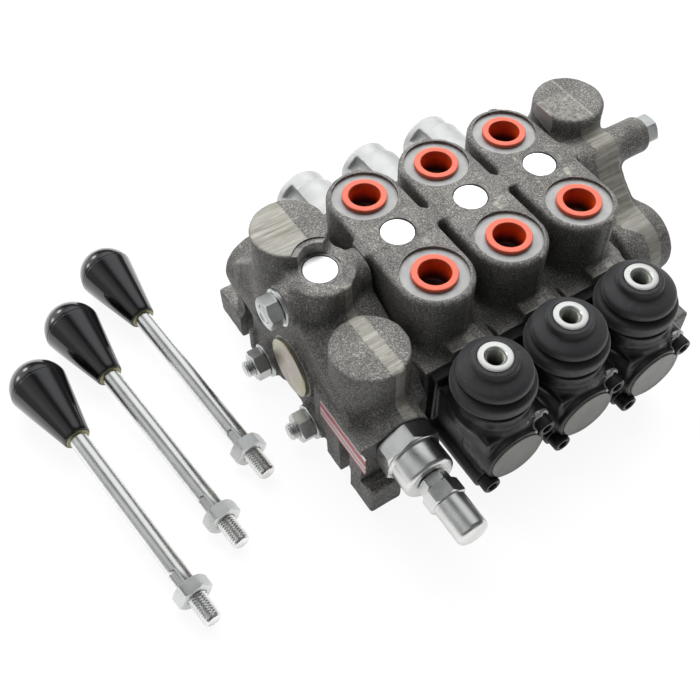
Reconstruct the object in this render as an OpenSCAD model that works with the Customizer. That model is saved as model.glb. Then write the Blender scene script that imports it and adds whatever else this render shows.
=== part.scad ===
// Three-spool sectional hydraulic directional control valve with hand levers.
// The stack runs along X (inlet at -X) and the spools along Y: lever side (front) at -Y,
// spring caps (rear) at +Y. The feet stand on z = 0, and the levers lie beside the inlet.

/* [Stack] */
// thickness of one work section along the stack
pitch = 46; // [45.5:0.1:46.5]
// height of the port boss tops above the floor
boss_h = 97; // [96:0.5:98]
// half width of a port boss
boss_r = 20.5; // [20:0.1:20.8]
// radius of the machined spot face around each port
spot_r = 17.6; // [17:0.1:18]
// y of the rear row of work ports
port_a_y = 30.9; // [30.5:0.1:31.5]
// y of the front row of work ports
port_b_y = -32.7; // [-33:0.1:-32.2]
// radius of the G1/2 port threads
port_r = 10.48; // [10.4:0.01:10.5]

/* [Spools] */
// height of the spool axis
spool_z = 40; // [39.5:0.1:40.5]
// radius of the spool bores
spool_bore_r = 9.0; // [8.9:0.05:9.1]
// radial running clearance of the spools
spool_gap = 0.04; // [0.02:0.01:0.06]

/* [Lever controls] */
// y of the hub axis
hub_y = -83.5; // [-84:0.1:-83]
// height of the lever pivot pin
pivot_z = 58; // [57.8:0.1:58.2]
// radius of the hub top ring
hub_r = 8.85; // [8.6:0.05:9]
// height of the hub top ring
hub_top = 86.4; // [86:0.1:87]
// radius of the M10 hub thread
hub_thread_r = 5.0; // [4.95:0.01:5.05]

/* [Tie rods] */
// radius of the tie rods
rod_r = 5.0; // [4.8:0.1:5]
// y of the upper tie rod
rod_top_y = -1; // [-1.5:0.5:-0.5]
// height of the upper tie rod
rod_top_z = 84.5; // [84:0.5:85]

/* [Hand levers] */
// overall length of a hand lever
lever_len = 183.8; // [182:0.2:185]
// radius of the lever rod
lever_rod_r = 5.1; // [5.0:0.1:5.2]
// largest radius of the lever knob
knob_r = 16.2; // [15.8:0.1:16.4]

/* [Hidden] */
$fn = 48;

gap = 0.02;               // fit between touching pieces

// stack
sec_x = [-pitch, 0, pitch];
half = pitch / 2;
inlet_joint_x = -1.5 * pitch;
inlet_end_x = -116;
outlet_joint_x = 1.5 * pitch;
outlet_end_x = 102;
front_y = -60;            // machined face for the lever boxes
rear_y = 60;              // machined face for the spring caps

// galleries along the stack
gallery_r = 5.5;
tank_y = 46;
tank_ys = [-tank_y, tank_y];
pressure_z = 62;
check_y = 18;             // load check axis

// face seals of the galleries: y, z, mean radius
gallery_seals = [[0, pressure_z, 7.7], [-tank_y, spool_z, 7.5], [tank_y, spool_z, 7.5]];

// tie rod axes: y, z; the upper rod comes first
rods = [[rod_top_y, rod_top_z], [23.5, 11.5], [-25.5, 11.5]];
low_rods = [rods[1], rods[2]];

// ports and plugs
spot_depth = 1.8;
core_plug_r = 9.0;
core_plug_h = 5;
inlet_core_x = -92;
inlet_core_top = boss_h - 0.5;
port_face_r = 16.6;       // spot face of the pressure and tank ports
pressure_port_x = -95.5;
pressure_port_z = 45;
tank_port_y = -37.5;
tank_port_z = 42;
end_plug_y = -8;
end_plug_z = 42;

// relief valve axis, along Y
relief_x = -92;
relief_z = 38;
relief_screw_r = 4.0;

// spools
spool_r = spool_bore_r - spool_gap;
spool_neck_r = 6.2;
spool_rear_y = 63;
seal_ys = [-55.8, 55.8];

// M6 socket screws of the spring caps and lever boxes
screw_r = 3.0;
screw_thread_r = 3.05;
screw_hole_r = 3.3;
socket_r = 2.9;
// x offset, z
cap_screws = [[-13, spool_z + 13], [13, spool_z - 13]];
// x offset, z, y of the ear face
box_screws = [[-15, 18.8, -107], [16.3, 45.3, -105.5]];

// lever boxes
turret_y = -86.5;
cover_dx = -0.6;
cover_z = 33.8;
pin_r = 3.0;

// ---------- shared shapes ----------
module cyl_x(r, x0, x1, y, z)
  translate([x0, y, z]) rotate([0, 90, 0]) cylinder(r = r, h = x1 - x0);
module cyl_y(r, y0, y1, x, z)
  translate([x, y1, z]) rotate([90, 0, 0]) cylinder(r = r, h = y1 - y0);
module cyl_z(r, z0, z1, x, y)
  translate([x, y, z0]) cylinder(r = r, h = z1 - z0);
module hex_x(r, x0, x1, y, z, turn)
  translate([x0, y, z]) rotate([0, 90, 0]) rotate([0, 0, turn])
    cylinder(r = r, h = x1 - x0, $fn = 6);
module hex_y(r, y0, y1, x, z, turn = 0)
  translate([x, y1, z]) rotate([90, 0, 0]) rotate([0, 0, turn])
    cylinder(r = r, h = y1 - y0, $fn = 6);
module box(x0, x1, y0, y1, z0, z1)
  translate([x0, y0, z0]) cube([x1 - x0, y1 - y0, z1 - z0]);
module ring_x(inner_r, outer_r, x0, x1, y, z)
  difference() {
    cyl_x(outer_r, x0, x1, y, z);
    cyl_x(inner_r, x0 - 1, x1 + 1, y, z);
  }
// O-ring about Z
module o_ring(mean_r, wire_r)
  rotate_extrude() translate([mean_r, 0]) circle(r = wire_r, $fn = 24);
// outline of [y, z] points, extruded from x0 to x1
module plate_yz(x0, x1, outline)
  translate([x0, 0, 0]) rotate([90, 0, 90]) linear_extrude(height = x1 - x0) polygon(outline);

// socket head screw along Y; shank, head and socket are each [radius, y0, y1]
module socket_screw(x, z, shank, head, socket)
  difference() {
    union() {
      cyl_y(shank[0], shank[1], shank[2], x, z);
      cyl_y(head[0], head[1], head[2], x, z);
    }
    hex_y(socket[0], socket[1], socket[2], x, z);
  }

// round wire helix along +Z
module coil(coil_r, wire_r, len, turns) {
  seg = 14;    // wire sections per turn
  side = 7;    // points per wire section
  last = turns * seg;
  function rise(i) = wire_r + (len - 2 * wire_r) * i / last;
  points = [for (i = [0:last]) for (k = [0:side - 1])
    let (a = 360 * i / seg, b = 360 * k / side, reach = coil_r + wire_r * cos(b))
    [reach * cos(a), reach * sin(a), rise(i) + wire_r * sin(b)]];
  faces = concat(
    [[for (k = [0:side - 1]) k]],
    [for (i = [0:last - 1]) for (k = [0:side - 1]) let (next = (k + 1) % side)
      [i * side + k, (i + 1) * side + k, (i + 1) * side + next, i * side + next]],
    [[for (k = [side - 1:-1:0]) last * side + k]]);
  polyhedron(points = points, faces = faces, convexity = 8);
}

// ---------- castings ----------
module rod_holes(x0, x1)
  for (rod = rods) cyl_x(rod_r + 0.3, x0, x1, rod[0], rod[1]);

// face grooves cut 2.1 deep into the -X face of a casting
module gallery_seal_grooves(face_x)
  for (seal = gallery_seals)
    ring_x(seal[2] - 1.2, seal[2] + 1.2, face_x - 1, face_x + 2.1, seal[0], seal[1]);

// y, z
section_outline = [
  [-56, 7], [-56, 54], [-50, 60], [-8, 64], [-5, 70], [-4, 96], [6, 96], [8, 70],
  [12, 64], [50, 60], [57, 54], [57, 7], [36, 2], [-38, 2]];

module work_section(at_x) color([0.26, 0.26, 0.27]) {
  x0 = at_x - half;
  x1 = at_x + half;
  boss_side = boss_r - 0.35;
  difference() {
    union() {
      plate_yz(x0, x1, section_outline);
      // machined front and rear pads
      box(at_x - 22.2, at_x + 22.2, front_y, -50, 12, 60);
      box(at_x - 22.2, at_x + 22.2, 50, rear_y, 14, 63);
      box(at_x - 6, at_x + 15, front_y, -52, 55, 66);
      // port bosses and the bridge between them
      for (y = [port_a_y, port_b_y]) cyl_z(boss_r, 50, boss_h, at_x, y);
      box(at_x - boss_side, at_x + boss_side, port_b_y, port_a_y, 50, boss_h);
    }
    // work ports
    for (y = [port_a_y, port_b_y]) {
      cyl_z(spot_r, boss_h - spot_depth, boss_h + 2, at_x, y);
      cyl_z(port_r, boss_h - 19, boss_h, at_x, y);
      cyl_z(5.5, spool_z, boss_h - 18, at_x, y);
    }
    // core plug seat
    cyl_z(core_plug_r + 0.05, boss_h - core_plug_h, boss_h + 2, at_x, 0);
    // spool bore, metering grooves and seal grooves
    cyl_y(spool_bore_r, front_y - 1, rear_y + 1, at_x, spool_z);
    for (y = [0, 16, -16, port_a_y, port_b_y, tank_y, -tank_y])
      cyl_y(11.6, y - 3, y + 3, at_x, spool_z);
    for (y = seal_ys) cyl_y(12, y - 1.5, y + 1.5, at_x, spool_z);
    // galleries along the stack
    cyl_x(gallery_r, x0 - 1, x1 + 1, 0, pressure_z);
    for (y = tank_ys) cyl_x(gallery_r, x0 - 1, x1 + 1, y, spool_z);
    // load check pocket, its seat and drillings
    cyl_x(8.5, at_x + 8, x1 + 1, check_y, pressure_z);
    cyl_x(4.5, at_x + 1, at_x + 9, check_y, pressure_z);
    cyl_y(3.5, 0, check_y, at_x + 3.5, pressure_z);
    cyl_z(3.5, spool_z, pressure_z - 3, at_x + 10, 16);
    rod_holes(x0 - 1, x1 + 1);
    gallery_seal_grooves(x0);
    // threaded holes for the lever box and the spring cap
    for (s = box_screws) cyl_y(screw_thread_r, front_y - 1, -51.5, at_x + s[0], s[1]);
    for (s = cap_screws) cyl_y(screw_thread_r, 50.5, rear_y + 1, at_x + s[0], s[1]);
  }
}
module work_section_1() work_section(sec_x[0]);
module work_section_2() work_section(sec_x[1]);
module work_section_3() work_section(sec_x[2]);

// bolt slot centred at (x, y), open towards the end face at open_x
module foot_slot(open_x, x, y) {
  slot_r = 5.25;
  cyl_z(slot_r, -1, 40, x, y);
  if (open_x < x) box(open_x - 2, x, y - slot_r, y + slot_r, -1, 40);
  else box(x, open_x + 2, y - slot_r, y + slot_r, -1, 40);
}

// y, z
inlet_outline = [
  [-62, 12], [-64, 20], [-64, 46], [-52, 58], [-24, 74], [-12, 80], [12, 80], [40, 76],
  [56, 62], [63, 48], [64, 20], [60, 12], [40, 4], [34, 1], [13, 1], [6, 6],
  [-8, 6], [-15, 1], [-36, 1], [-42, 4]];

module inlet_section() color([0.27, 0.27, 0.28]) difference() {
  union() {
    plate_yz(inlet_end_x + 3, inlet_joint_x, inlet_outline);
    // raised end pads under the lower nuts and around the end plug
    for (rod = low_rods) cyl_x(10.8, inlet_end_x, inlet_joint_x - 10, rod[0], rod[1] + 0.2);
    cyl_x(18.5, inlet_end_x, inlet_end_x + 12, end_plug_y, end_plug_z);
    // tie rod boss and round pad of the core plug
    cyl_x(11.2, inlet_end_x, inlet_joint_x, rod_top_y, rod_top_z);
    cyl_z(18, 60, inlet_core_top, inlet_core_x, 0);
    // blank bosses
    cyl_z(20, 50, 105, -94.5, 26);
    cyl_z(20.2, 40, 83, -92, -45);
    // pressure port boss at the rear
    cyl_y(20.6, 30, 67, pressure_port_x, pressure_port_z);
    // relief valve boss and the wall that carries the label
    cyl_y(17.5, -75, -30, relief_x, relief_z);
    box(inlet_end_x, -98, -79, -30, 20, 50);
    // feet and the low ledges beside them
    box(inlet_end_x, -97, -84.5, -40, 0, 20);
    box(inlet_end_x - 0.8, -97, 40, 80, 0, 18);
    box(-97, inlet_joint_x, -62, -50, 3, 20);
    box(-97, inlet_joint_x, 46, 62, 3, 20);
  }
  foot_slot(inlet_end_x, -107, -59.5);
  foot_slot(inlet_end_x, -107, 48.5);
  // clearance round the relief cartridge hex
  cyl_y(17.7, -80, -75, relief_x, relief_z);
  // core plug seat
  cyl_z(core_plug_r + 0.05, inlet_core_top - core_plug_h, boss_h + 2, inlet_core_x, 0);
  // pressure port and gallery
  cyl_y(port_r, 49, 68, pressure_port_x, pressure_port_z);
  cyl_y(port_face_r, 66, 68, pressure_port_x, pressure_port_z);
  cyl_y(6, 0, 50, pressure_port_x, pressure_port_z);
  cyl_z(6, 44, pressure_z, pressure_port_x, 0);
  cyl_x(gallery_r, -96, inlet_joint_x + 1, 0, pressure_z);
  // relief cavity and its drillings
  cyl_y(13.1, -76, -34, relief_x, relief_z);
  cyl_y(4.6, -36, 1, relief_x, relief_z);
  cyl_z(5, 36, 46, -93.5, -1);
  cyl_y(5, -48, 46, -78, relief_z);
  cyl_x(5, relief_x, -78, -40, relief_z);
  // tank galleries
  for (y = tank_ys) cyl_x(gallery_r, -78, inlet_joint_x + 1, y, spool_z);
  // end plug thread
  cyl_x(13.1, inlet_end_x - 1, -106.4, end_plug_y, end_plug_z);
  rod_holes(inlet_end_x - 2, inlet_joint_x + 1);
  // label recess
  box(inlet_end_x - 1, inlet_end_x + 0.2, -79.5, -36.5, 32.6, 47.4);
}

// y, z
outlet_outline = [
  [-60, 14], [-60, 31], [-57, 37], [-42, 57], [-24, 73], [-12, 85], [-4, 91], [12, 92],
  [40, 88], [54, 70], [61, 48], [61, 14], [40, 4], [34, 1], [13, 1], [6, 6],
  [-8, 6], [-15, 1], [-36, 1], [-42, 4]];
outlet_end_outline = [
  [-55, 14], [-55, 31], [-50, 38], [-38, 52], [-20, 67], [-9, 78], [12, 84], [38, 80],
  [50, 66], [56, 48], [56, 14], [40, 6], [13, 6], [-36, 6]];

module outlet_section() color([0.28, 0.28, 0.29]) difference() {
  union() {
    plate_yz(outlet_joint_x, 95, outlet_outline);
    plate_yz(94, outlet_end_x, outlet_end_outline);
    // tie rod boss and pads
    cyl_x(10.5, outlet_joint_x, 119, rod_top_y, rod_top_z);
    for (rod = low_rods) cyl_x(10.8, outlet_joint_x + 6, outlet_end_x, rod[0], rod[1] + 0.2);
    // blank boss
    cyl_z(19.8, 50, 105, 87, 26.5);
    // tank port boss facing +X
    cyl_x(21.5, outlet_joint_x + 4, outlet_end_x + 3, tank_port_y, tank_port_z);
    // feet
    box(84, outlet_end_x + 0.5, -84.5, -40, 0, 20);
    box(84, outlet_end_x + 0.5, 40, 80, 0, 18);
  }
  foot_slot(outlet_end_x, 93.5, -68);
  foot_slot(outlet_end_x, 93.5, 66);
  // flat flank of the blank boss at the joint face
  box(outlet_joint_x - 4, outlet_joint_x, 0, 60, 45, 110);
  // tank port and galleries
  cyl_x(port_r, outlet_end_x - 14, outlet_end_x + 4, tank_port_y, tank_port_z);
  cyl_x(port_face_r, outlet_end_x + 2, outlet_end_x + 4, tank_port_y, tank_port_z);
  cyl_x(6, 79, outlet_end_x - 13, tank_port_y, tank_port_z);
  cyl_y(6, -51, 51, 80, spool_z);
  for (y = tank_ys) cyl_x(gallery_r, outlet_joint_x - 1, 80, y, spool_z);
  cyl_x(gallery_r, outlet_joint_x - 1, 78, 0, pressure_z);
  rod_holes(outlet_joint_x - 1, 125);
  gallery_seal_grooves(outlet_joint_x);
}

module section_seals() color([0.05, 0.05, 0.05])
  for (i = [0:3]) for (seal = gallery_seals)
    translate([inlet_joint_x + i * pitch + 1.04, seal[0], seal[1]]) rotate([0, 90, 0])
      o_ring(seal[2], 1.0);

// ---------- tie rods ----------
module tie_rods() color([0.72, 0.73, 0.74]) {
  cyl_x(rod_r, inlet_end_x - 9.6, 127.6, rod_top_y, rod_top_z);
  for (rod = low_rods) cyl_x(rod_r, inlet_end_x - 14.5, outlet_end_x + 12, rod[0], rod[1]);
}

// hex nut chamfered at both ends
module tie_nut(x0, x1, rod, turn) {
  y = rod[0];
  z = rod[1];
  face_r = 8.9;
  h = x1 - x0;
  difference() {
    intersection() {
      hex_x(9.3, x0, x1, y, z, turn);
      translate([x0, y, z]) rotate([0, 90, 0]) cylinder(r1 = face_r, r2 = face_r + h, h = h);
      translate([x1, y, z]) rotate([0, -90, 0]) cylinder(r1 = face_r, r2 = face_r + h, h = h);
    }
    cyl_x(rod_r + gap, x0 - 1, x1 + 1, y, z);
  }
}
module tie_rod_nuts() color([0.78, 0.79, 0.8]) {
  turns = [12, 20, 8];
  for (i = [0:2]) tie_nut(inlet_end_x - 10, inlet_end_x - 2, rods[i], turns[i]);
  tie_nut(119 + gap, 127, rods[0], 0);
  for (rod = low_rods) tie_nut(outlet_end_x + gap, outlet_end_x + 8, rod, 30);
}
module tie_rod_washers() color([0.8, 0.8, 0.8])
  for (rod = rods)
    ring_x(5.25, 10.3, inlet_end_x - 2 + gap, inlet_end_x - gap, rod[0], rod[1]);

// ---------- plugs and label ----------
module inlet_end_plug() color([0.72, 0.68, 0.5]) union() {
  cyl_x(17, inlet_end_x - 2.5, inlet_end_x - gap, end_plug_y, end_plug_z);
  cyl_x(13.05, inlet_end_x - 0.1, -107, end_plug_y, end_plug_z);
}

module label_plate() color([0.75, 0.2, 0.2])
  box(inlet_end_x - 0.75, inlet_end_x + 0.15, -79, -37, 33, 47);

// hollow plug, open at the top
module port_plug(x, y) difference() {
  union() {
    cyl_z(12, boss_h - spot_depth + gap, boss_h + 0.6, x, y);
    cyl_z(port_r - 0.1, boss_h - 15, boss_h - 1.7, x, y);
  }
  cyl_z(8.5, boss_h - 13.6, boss_h + 1, x, y);
}
module port_plugs() color([0.93, 0.33, 0.22])
  for (x = sec_x) for (y = [port_a_y, port_b_y]) port_plug(x, y);

module core_plug(x, top) cyl_z(core_plug_r, top - core_plug_h + gap, top, x, 0);
module core_plugs() color([0.92, 0.92, 0.92]) {
  for (x = sec_x) core_plug(x, boss_h);
  core_plug(inlet_core_x, inlet_core_top);
}

// ---------- load checks ----------
module check_poppet(at_x) color([0.7, 0.7, 0.72]) difference() {
  union() {
    cyl_x(8.42, at_x + 8 + gap, at_x + 14, check_y, pressure_z);
    cyl_x(4.2, at_x + 5.5, at_x + 8.1, check_y, pressure_z);
  }
  cyl_x(6, at_x + 10, at_x + 15, check_y, pressure_z);
}
module check_poppet_1() check_poppet(sec_x[0]);
module check_poppet_2() check_poppet(sec_x[1]);
module check_poppet_3() check_poppet(sec_x[2]);
module check_springs() color([0.6, 0.6, 0.62])
  for (x = sec_x) translate([x + 10.05, check_y, pressure_z]) rotate([0, 90, 0])
    coil(4.6, 0.6, half - 10.1, 5);

// ---------- relief valve ----------
module relief_cyl(r, y0, y1) cyl_y(r, y0, y1, relief_x, relief_z);

module relief_body() color([0.76, 0.77, 0.78]) difference() {
  union() {
    relief_cyl(13.0, -76, -35);
    // hex chamfered at the front
    intersection() {
      hex_y(17.3, -86, -75.05, relief_x, relief_z, 30);
      translate([relief_x, -75.05, relief_z]) rotate([90, 0, 0])
        cylinder(r1 = 27, r2 = 16.4, h = 10.95);
    }
    relief_cyl(14.2, -101, -85.5);
  }
  // screw thread, spring chamber and poppet seat
  relief_cyl(relief_screw_r + 0.05, -102, -78);
  relief_cyl(6.5, -81, -36.5);
  relief_cyl(3.2, -37, -34);
  // cross drillings
  for (a = [0, 90]) translate([relief_x, 0, relief_z]) rotate([0, a + 45, 0])
    cyl_x(2.4, -14, 14, -42, 0);
}
module relief_poppet() color([0.66, 0.66, 0.68]) union() {
  relief_cyl(6.42, -50, -40);
  translate([relief_x, -40.1, relief_z]) rotate([-90, 0, 0])
    cylinder(r1 = 5.2, r2 = 3.6, h = 3.5);
}
module relief_spring() color([0.6, 0.6, 0.62])
  translate([relief_x, -50.05, relief_z]) rotate([90, 0, 0]) coil(4.6, 0.75, 25.4, 7);
module relief_adjusting_screw() color([0.62, 0.62, 0.64]) union() {
  relief_cyl(relief_screw_r, -125, -78);
  relief_cyl(6.3, -78.9, -75.5);
}
module relief_locknut() color([0.72, 0.73, 0.74]) difference() {
  hex_y(8.6, -107, -101 - gap, relief_x, relief_z, 12);
  relief_cyl(relief_screw_r + gap, -108, -100);
}
module relief_cap_nut() color([0.78, 0.79, 0.8]) difference() {
  union() {
    hex_y(10.4, -116, -107 - gap, relief_x, relief_z, 18);
    relief_cyl(8.7, -134.5, -115.9);
    translate([relief_x, -134.5, relief_z]) rotate([90, 0, 0])
      cylinder(r1 = 8.7, r2 = 6.6, h = 1.8);
  }
  relief_cyl(relief_screw_r + gap, -127, -106);
}

// ---------- spools ----------
// half section from rear to front: radius, y
spool_outline = [
  [0, spool_rear_y], [spool_r, spool_rear_y],
  [spool_r, 41], [spool_neck_r, 40.9], [spool_neck_r, 37], [spool_r, 36.9],
  [spool_r, 26.5], [spool_neck_r, 26.4], [spool_neck_r, 20], [spool_r, 19.9],
  [spool_r, 12], [spool_neck_r, 11.9], [spool_neck_r, 5], [spool_r, 4.9],
  [spool_r, -4.9], [spool_neck_r, -5], [spool_neck_r, -11.9], [spool_r, -12],
  [spool_r, -21], [spool_neck_r, -21.1], [spool_neck_r, -28], [spool_r, -28.1],
  [spool_r, -37.9], [spool_neck_r, -38], [spool_neck_r, -41], [spool_r, -41.1],
  [spool_r, -66], [7.5, -66.5], [7.5, -95], [0, -95]];

module spool(at_x) color([0.68, 0.69, 0.7]) difference() {
  translate([at_x, 0, spool_z]) rotate([-90, 0, 0]) rotate_extrude() polygon(spool_outline);
  // slot for the hub ball, longer along Y near the top
  for (cut = [[4.2, -10], [6.8, 2]])
    box(at_x - 4.3, at_x + 4.3, hub_y - cut[0], hub_y + cut[0], spool_z + cut[1], spool_z + 10);
  // thread for the end screw
  cyl_y(3.52, 48, 64, at_x, spool_z);
}
module spool_1() spool(sec_x[0]);
module spool_2() spool(sec_x[1]);
module spool_3() spool(sec_x[2]);
module spool_seals() color([0.05, 0.05, 0.05])
  for (x = sec_x) for (y = seal_ys)
    translate([x, y, spool_z]) rotate([90, 0, 0]) o_ring(10.5, 1.35);

module spool_end_screw(at_x) color([0.5, 0.5, 0.52])
  socket_screw(at_x, spool_z, [3.5, 49, spool_rear_y + 0.1],
    [5.6, spool_rear_y + gap, 70], [socket_r, 66, 71]);
module spool_end_screw_1() spool_end_screw(sec_x[0]);
module spool_end_screw_2() spool_end_screw(sec_x[1]);
module spool_end_screw_3() spool_end_screw(sec_x[2]);

module return_spring(at_x) color([0.6, 0.61, 0.63])
  translate([at_x, 89.9, spool_z]) rotate([90, 0, 0]) coil(7.4, 1.15, 26.8, 6);
module return_spring_1() return_spring(sec_x[0]);
module return_spring_2() return_spring(sec_x[1]);
module return_spring_3() return_spring(sec_x[2]);
module spring_seats() color([0.65, 0.65, 0.66])
  for (x = sec_x) difference() {
    cyl_y(11.9, 90, 91.95, x, spool_z);
    cyl_y(6.3, 89, 93, x, spool_z);
  }

// ---------- spring caps ----------
module spring_cap(at_x) color([0.8, 0.8, 0.79]) difference() {
  flange_r = 18.6;
  dome_r = 16.6;
  union() {
    cyl_y(flange_r, rear_y + gap, 91, at_x, spool_z);
    translate([at_x, 90.9, spool_z]) rotate([-90, 0, 0])
      cylinder(r1 = flange_r, r2 = 16.4, h = 1.6);
    cyl_y(dome_r, 80, 101.6, at_x, spool_z);
    translate([at_x, 101.5, spool_z]) rotate([-90, 0, 0])
      cylinder(r1 = dome_r, r2 = 14.9, h = 1.7);
    for (s = cap_screws) cyl_y(6.4, rear_y + gap, 72, at_x + s[0], s[1]);
  }
  // spring chamber and the narrower end bore
  cyl_y(12, 50, 92, at_x, spool_z);
  cyl_y(9.5, 91, 100, at_x, spool_z);
  // screw holes and head clearance
  for (s = cap_screws) {
    cyl_y(screw_hole_r, 50, 80, at_x + s[0], s[1]);
    cyl_y(5.7, 70, 98, at_x + s[0], s[1]);
  }
}
module spring_cap_1() spring_cap(sec_x[0]);
module spring_cap_2() spring_cap(sec_x[1]);
module spring_cap_3() spring_cap(sec_x[2]);
module spring_cap_screws() color([0.12, 0.12, 0.13])
  for (x = sec_x) for (s = cap_screws)
    socket_screw(x + s[0], s[1], [screw_r, 51, 70.1], [4.9, 70 + gap, 76], [socket_r, 73, 77]);

// ---------- lever boxes ----------
module lever_box(at_x) color([0.12, 0.12, 0.13]) difference() {
  union() {
    box(at_x - 17.5, at_x + 17.5, -107, front_y - gap, 14, 52);
    box(at_x - 20, at_x + 20, -66, front_y - gap, 13, 58);
    cyl_y(17.4, -111, -90, at_x + cover_dx, cover_z);
    // screw ears
    for (s = box_screws) cyl_y(6.4, s[2], front_y - gap, at_x + s[0], s[1]);
    // turret for the bellows
    cyl_z(19.6, 40, 62.5, at_x, turret_y);
    cyl_z(21, 50, 54, at_x, turret_y);
  }
  // cavity for the spool tongue and the hub
  box(at_x - 12, at_x + 12, -103.5, front_y + 1, 29, 49.5);
  cyl_z(13.8, 45, 64, at_x, turret_y + 1);
  // seat of the front cover
  cyl_y(15.35, -112, -106, at_x + cover_dx, cover_z);
  // pivot pin hole
  cyl_x(pin_r + gap, at_x - 18.5, at_x + 18.5, hub_y, pivot_z);
  // screw holes and head clearance
  for (s = box_screws) {
    cyl_y(screw_hole_r, -112, -55, at_x + s[0], s[1]);
    cyl_y(5.4, -112, s[2], at_x + s[0], s[1]);
  }
}
module lever_box_1() lever_box(sec_x[0]);
module lever_box_2() lever_box(sec_x[1]);
module lever_box_3() lever_box(sec_x[2]);
module lever_box_covers() color([0.6, 0.6, 0.6])
  for (x = sec_x) cyl_y(15.3, -111.8, -106.03, x + cover_dx, cover_z);
module lever_box_screws() color([0.08, 0.08, 0.09])
  for (x = sec_x) for (s = box_screws) let (seat = s[2] - 0.03)
    socket_screw(x + s[0], s[1], [screw_r, seat - 0.1, -52],
      [5.0, seat - 6.4, seat], [socket_r, seat - 7, seat - 3.4]);
module pivot_pins() color([0.7, 0.7, 0.72])
  for (x = sec_x) cyl_x(pin_r, x - 18.4, x + 18.4, hub_y, pivot_z);

// threaded top ring, neck, pivot barrel, and a stem whose ball sits in the spool slot
module lever_hub(at_x) color([0.8, 0.81, 0.82]) difference() {
  union() {
    cyl_z(hub_r, 71, hub_top, at_x, hub_y);
    cyl_z(6.6, pivot_z, 71.5, at_x, hub_y);
    cyl_x(6.8, at_x - 7.5, at_x + 7.5, hub_y, pivot_z);
    cyl_z(3.4, spool_z, pivot_z, at_x, hub_y);
    translate([at_x, hub_y, spool_z]) sphere(r = 3.98);
  }
  cyl_z(hub_thread_r, 68.4, hub_top + 1, at_x, hub_y);
  cyl_x(pin_r + 0.06, at_x - 8, at_x + 8, hub_y, pivot_z);
}
module lever_hub_1() lever_hub(sec_x[0]);
module lever_hub_2() lever_hub(sec_x[1]);
module lever_hub_3() lever_hub(sec_x[2]);

// rubber bellows wall: collar, two folds, skirt over the turret; radius, z
bellows_outline = [
  [10.6, 85.4], [11.6, 85.4], [12.2, 84.4], [11.6, 83.2], [13.2, 82.4], [17.2, 80.6],
  [19.0, 78.8], [19.3, 77], [18.6, 75.2], [16.6, 74.2], [17.0, 73.2], [20.2, 72.6],
  [21.0, 71], [20.6, 69.2], [19.2, 68.2], [18.6, 67], [19.8, 65.8], [22.2, 64.2],
  [22.2, 63.6], [15.2, 63.6], [15.4, 66], [16.6, 68.6], [18.8, 70.6], [18.6, 71.4],
  [15.2, 72], [14.6, 74.6], [16.6, 76.4], [17.0, 78], [15.6, 79.4], [11.6, 81.4],
  [10.6, 82]];
module bellows(at_x) color([0.06, 0.06, 0.06])
  translate([at_x, -85, 0]) rotate_extrude() polygon(bellows_outline);
module bellows_1() bellows(sec_x[0]);
module bellows_2() bellows(sec_x[1]);
module bellows_3() bellows(sec_x[2]);

// ---------- hand levers, lying on the floor beside the inlet ----------
// Each lever is built along +Z from its knob tip, then laid down.
// knob tip x, y, heading
lever_places = [[-169.1, 143.6, -84.44], [-203.3, 115.6, -83.22], [-235, 87.2, -82.9]];
knob_len = 56.8;
knob_end_r = 7.5;
knob_bore_start = 23.9;
knob_rest = 16.2;              // where the knob rests, from its tip
nut_rest = lever_len - 18.8;   // where the locknut rests
nut_start = nut_rest - 3.6;
nut_h = 8;
lever_thread_r = 4.95;
end_r = 4.7;
end_chamfer = 0.9;
knob_axis_z = knob_r + 0.06;
nut_axis_z = 8.5 + 0.26;
lever_tilt = atan((knob_axis_z - nut_axis_z) / (nut_rest - knob_rest));

module lay_lever(i)
  translate([lever_places[i][0], lever_places[i][1], knob_axis_z + knob_rest * tan(lever_tilt)])
    rotate([0, 0, lever_places[i][2]]) rotate([0, lever_tilt, 0]) rotate([0, 90, 0]) children();

// knob radius at distance d from the tip: domed end, then a straight taper
function knob_rad(d) = d < knob_r
  ? sqrt(max(0, knob_r * knob_r - (knob_r - d) * (knob_r - d)))
  : knob_r - (knob_r - knob_end_r) * (d - knob_r) / (knob_len - knob_r);
knob_stations = [0.4, 1.4, 3, 5, 7.5, 10.5, 13.5, knob_r, knob_len];

module lever_knob(i) color([0.03, 0.03, 0.035]) lay_lever(i) difference() {
  rotate_extrude()
    polygon(concat([[0, 0]], [for (d = knob_stations) [knob_rad(d), d]], [[0, knob_len]]));
  translate([0, 0, knob_bore_start]) cylinder(r = lever_rod_r + gap, h = 40);
}
module lever_knob_1() lever_knob(0);
module lever_knob_2() lever_knob(1);
module lever_knob_3() lever_knob(2);

// rod, thread under the locknut, and chamfered end
module lever_rod(i) color([0.78, 0.79, 0.8]) lay_lever(i) {
  translate([0, 0, 24]) cylinder(r = lever_rod_r, h = nut_rest - 28);
  translate([0, 0, nut_rest - 4.1]) cylinder(r = lever_thread_r, h = 8.8);
  translate([0, 0, nut_rest + 4.6]) cylinder(r = end_r, h = lever_len - nut_rest - 5.5);
  translate([0, 0, lever_len - end_chamfer]) cylinder(r1 = end_r, r2 = 4.0, h = end_chamfer);
}
module lever_rod_1() lever_rod(0);
module lever_rod_2() lever_rod(1);
module lever_rod_3() lever_rod(2);

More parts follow.
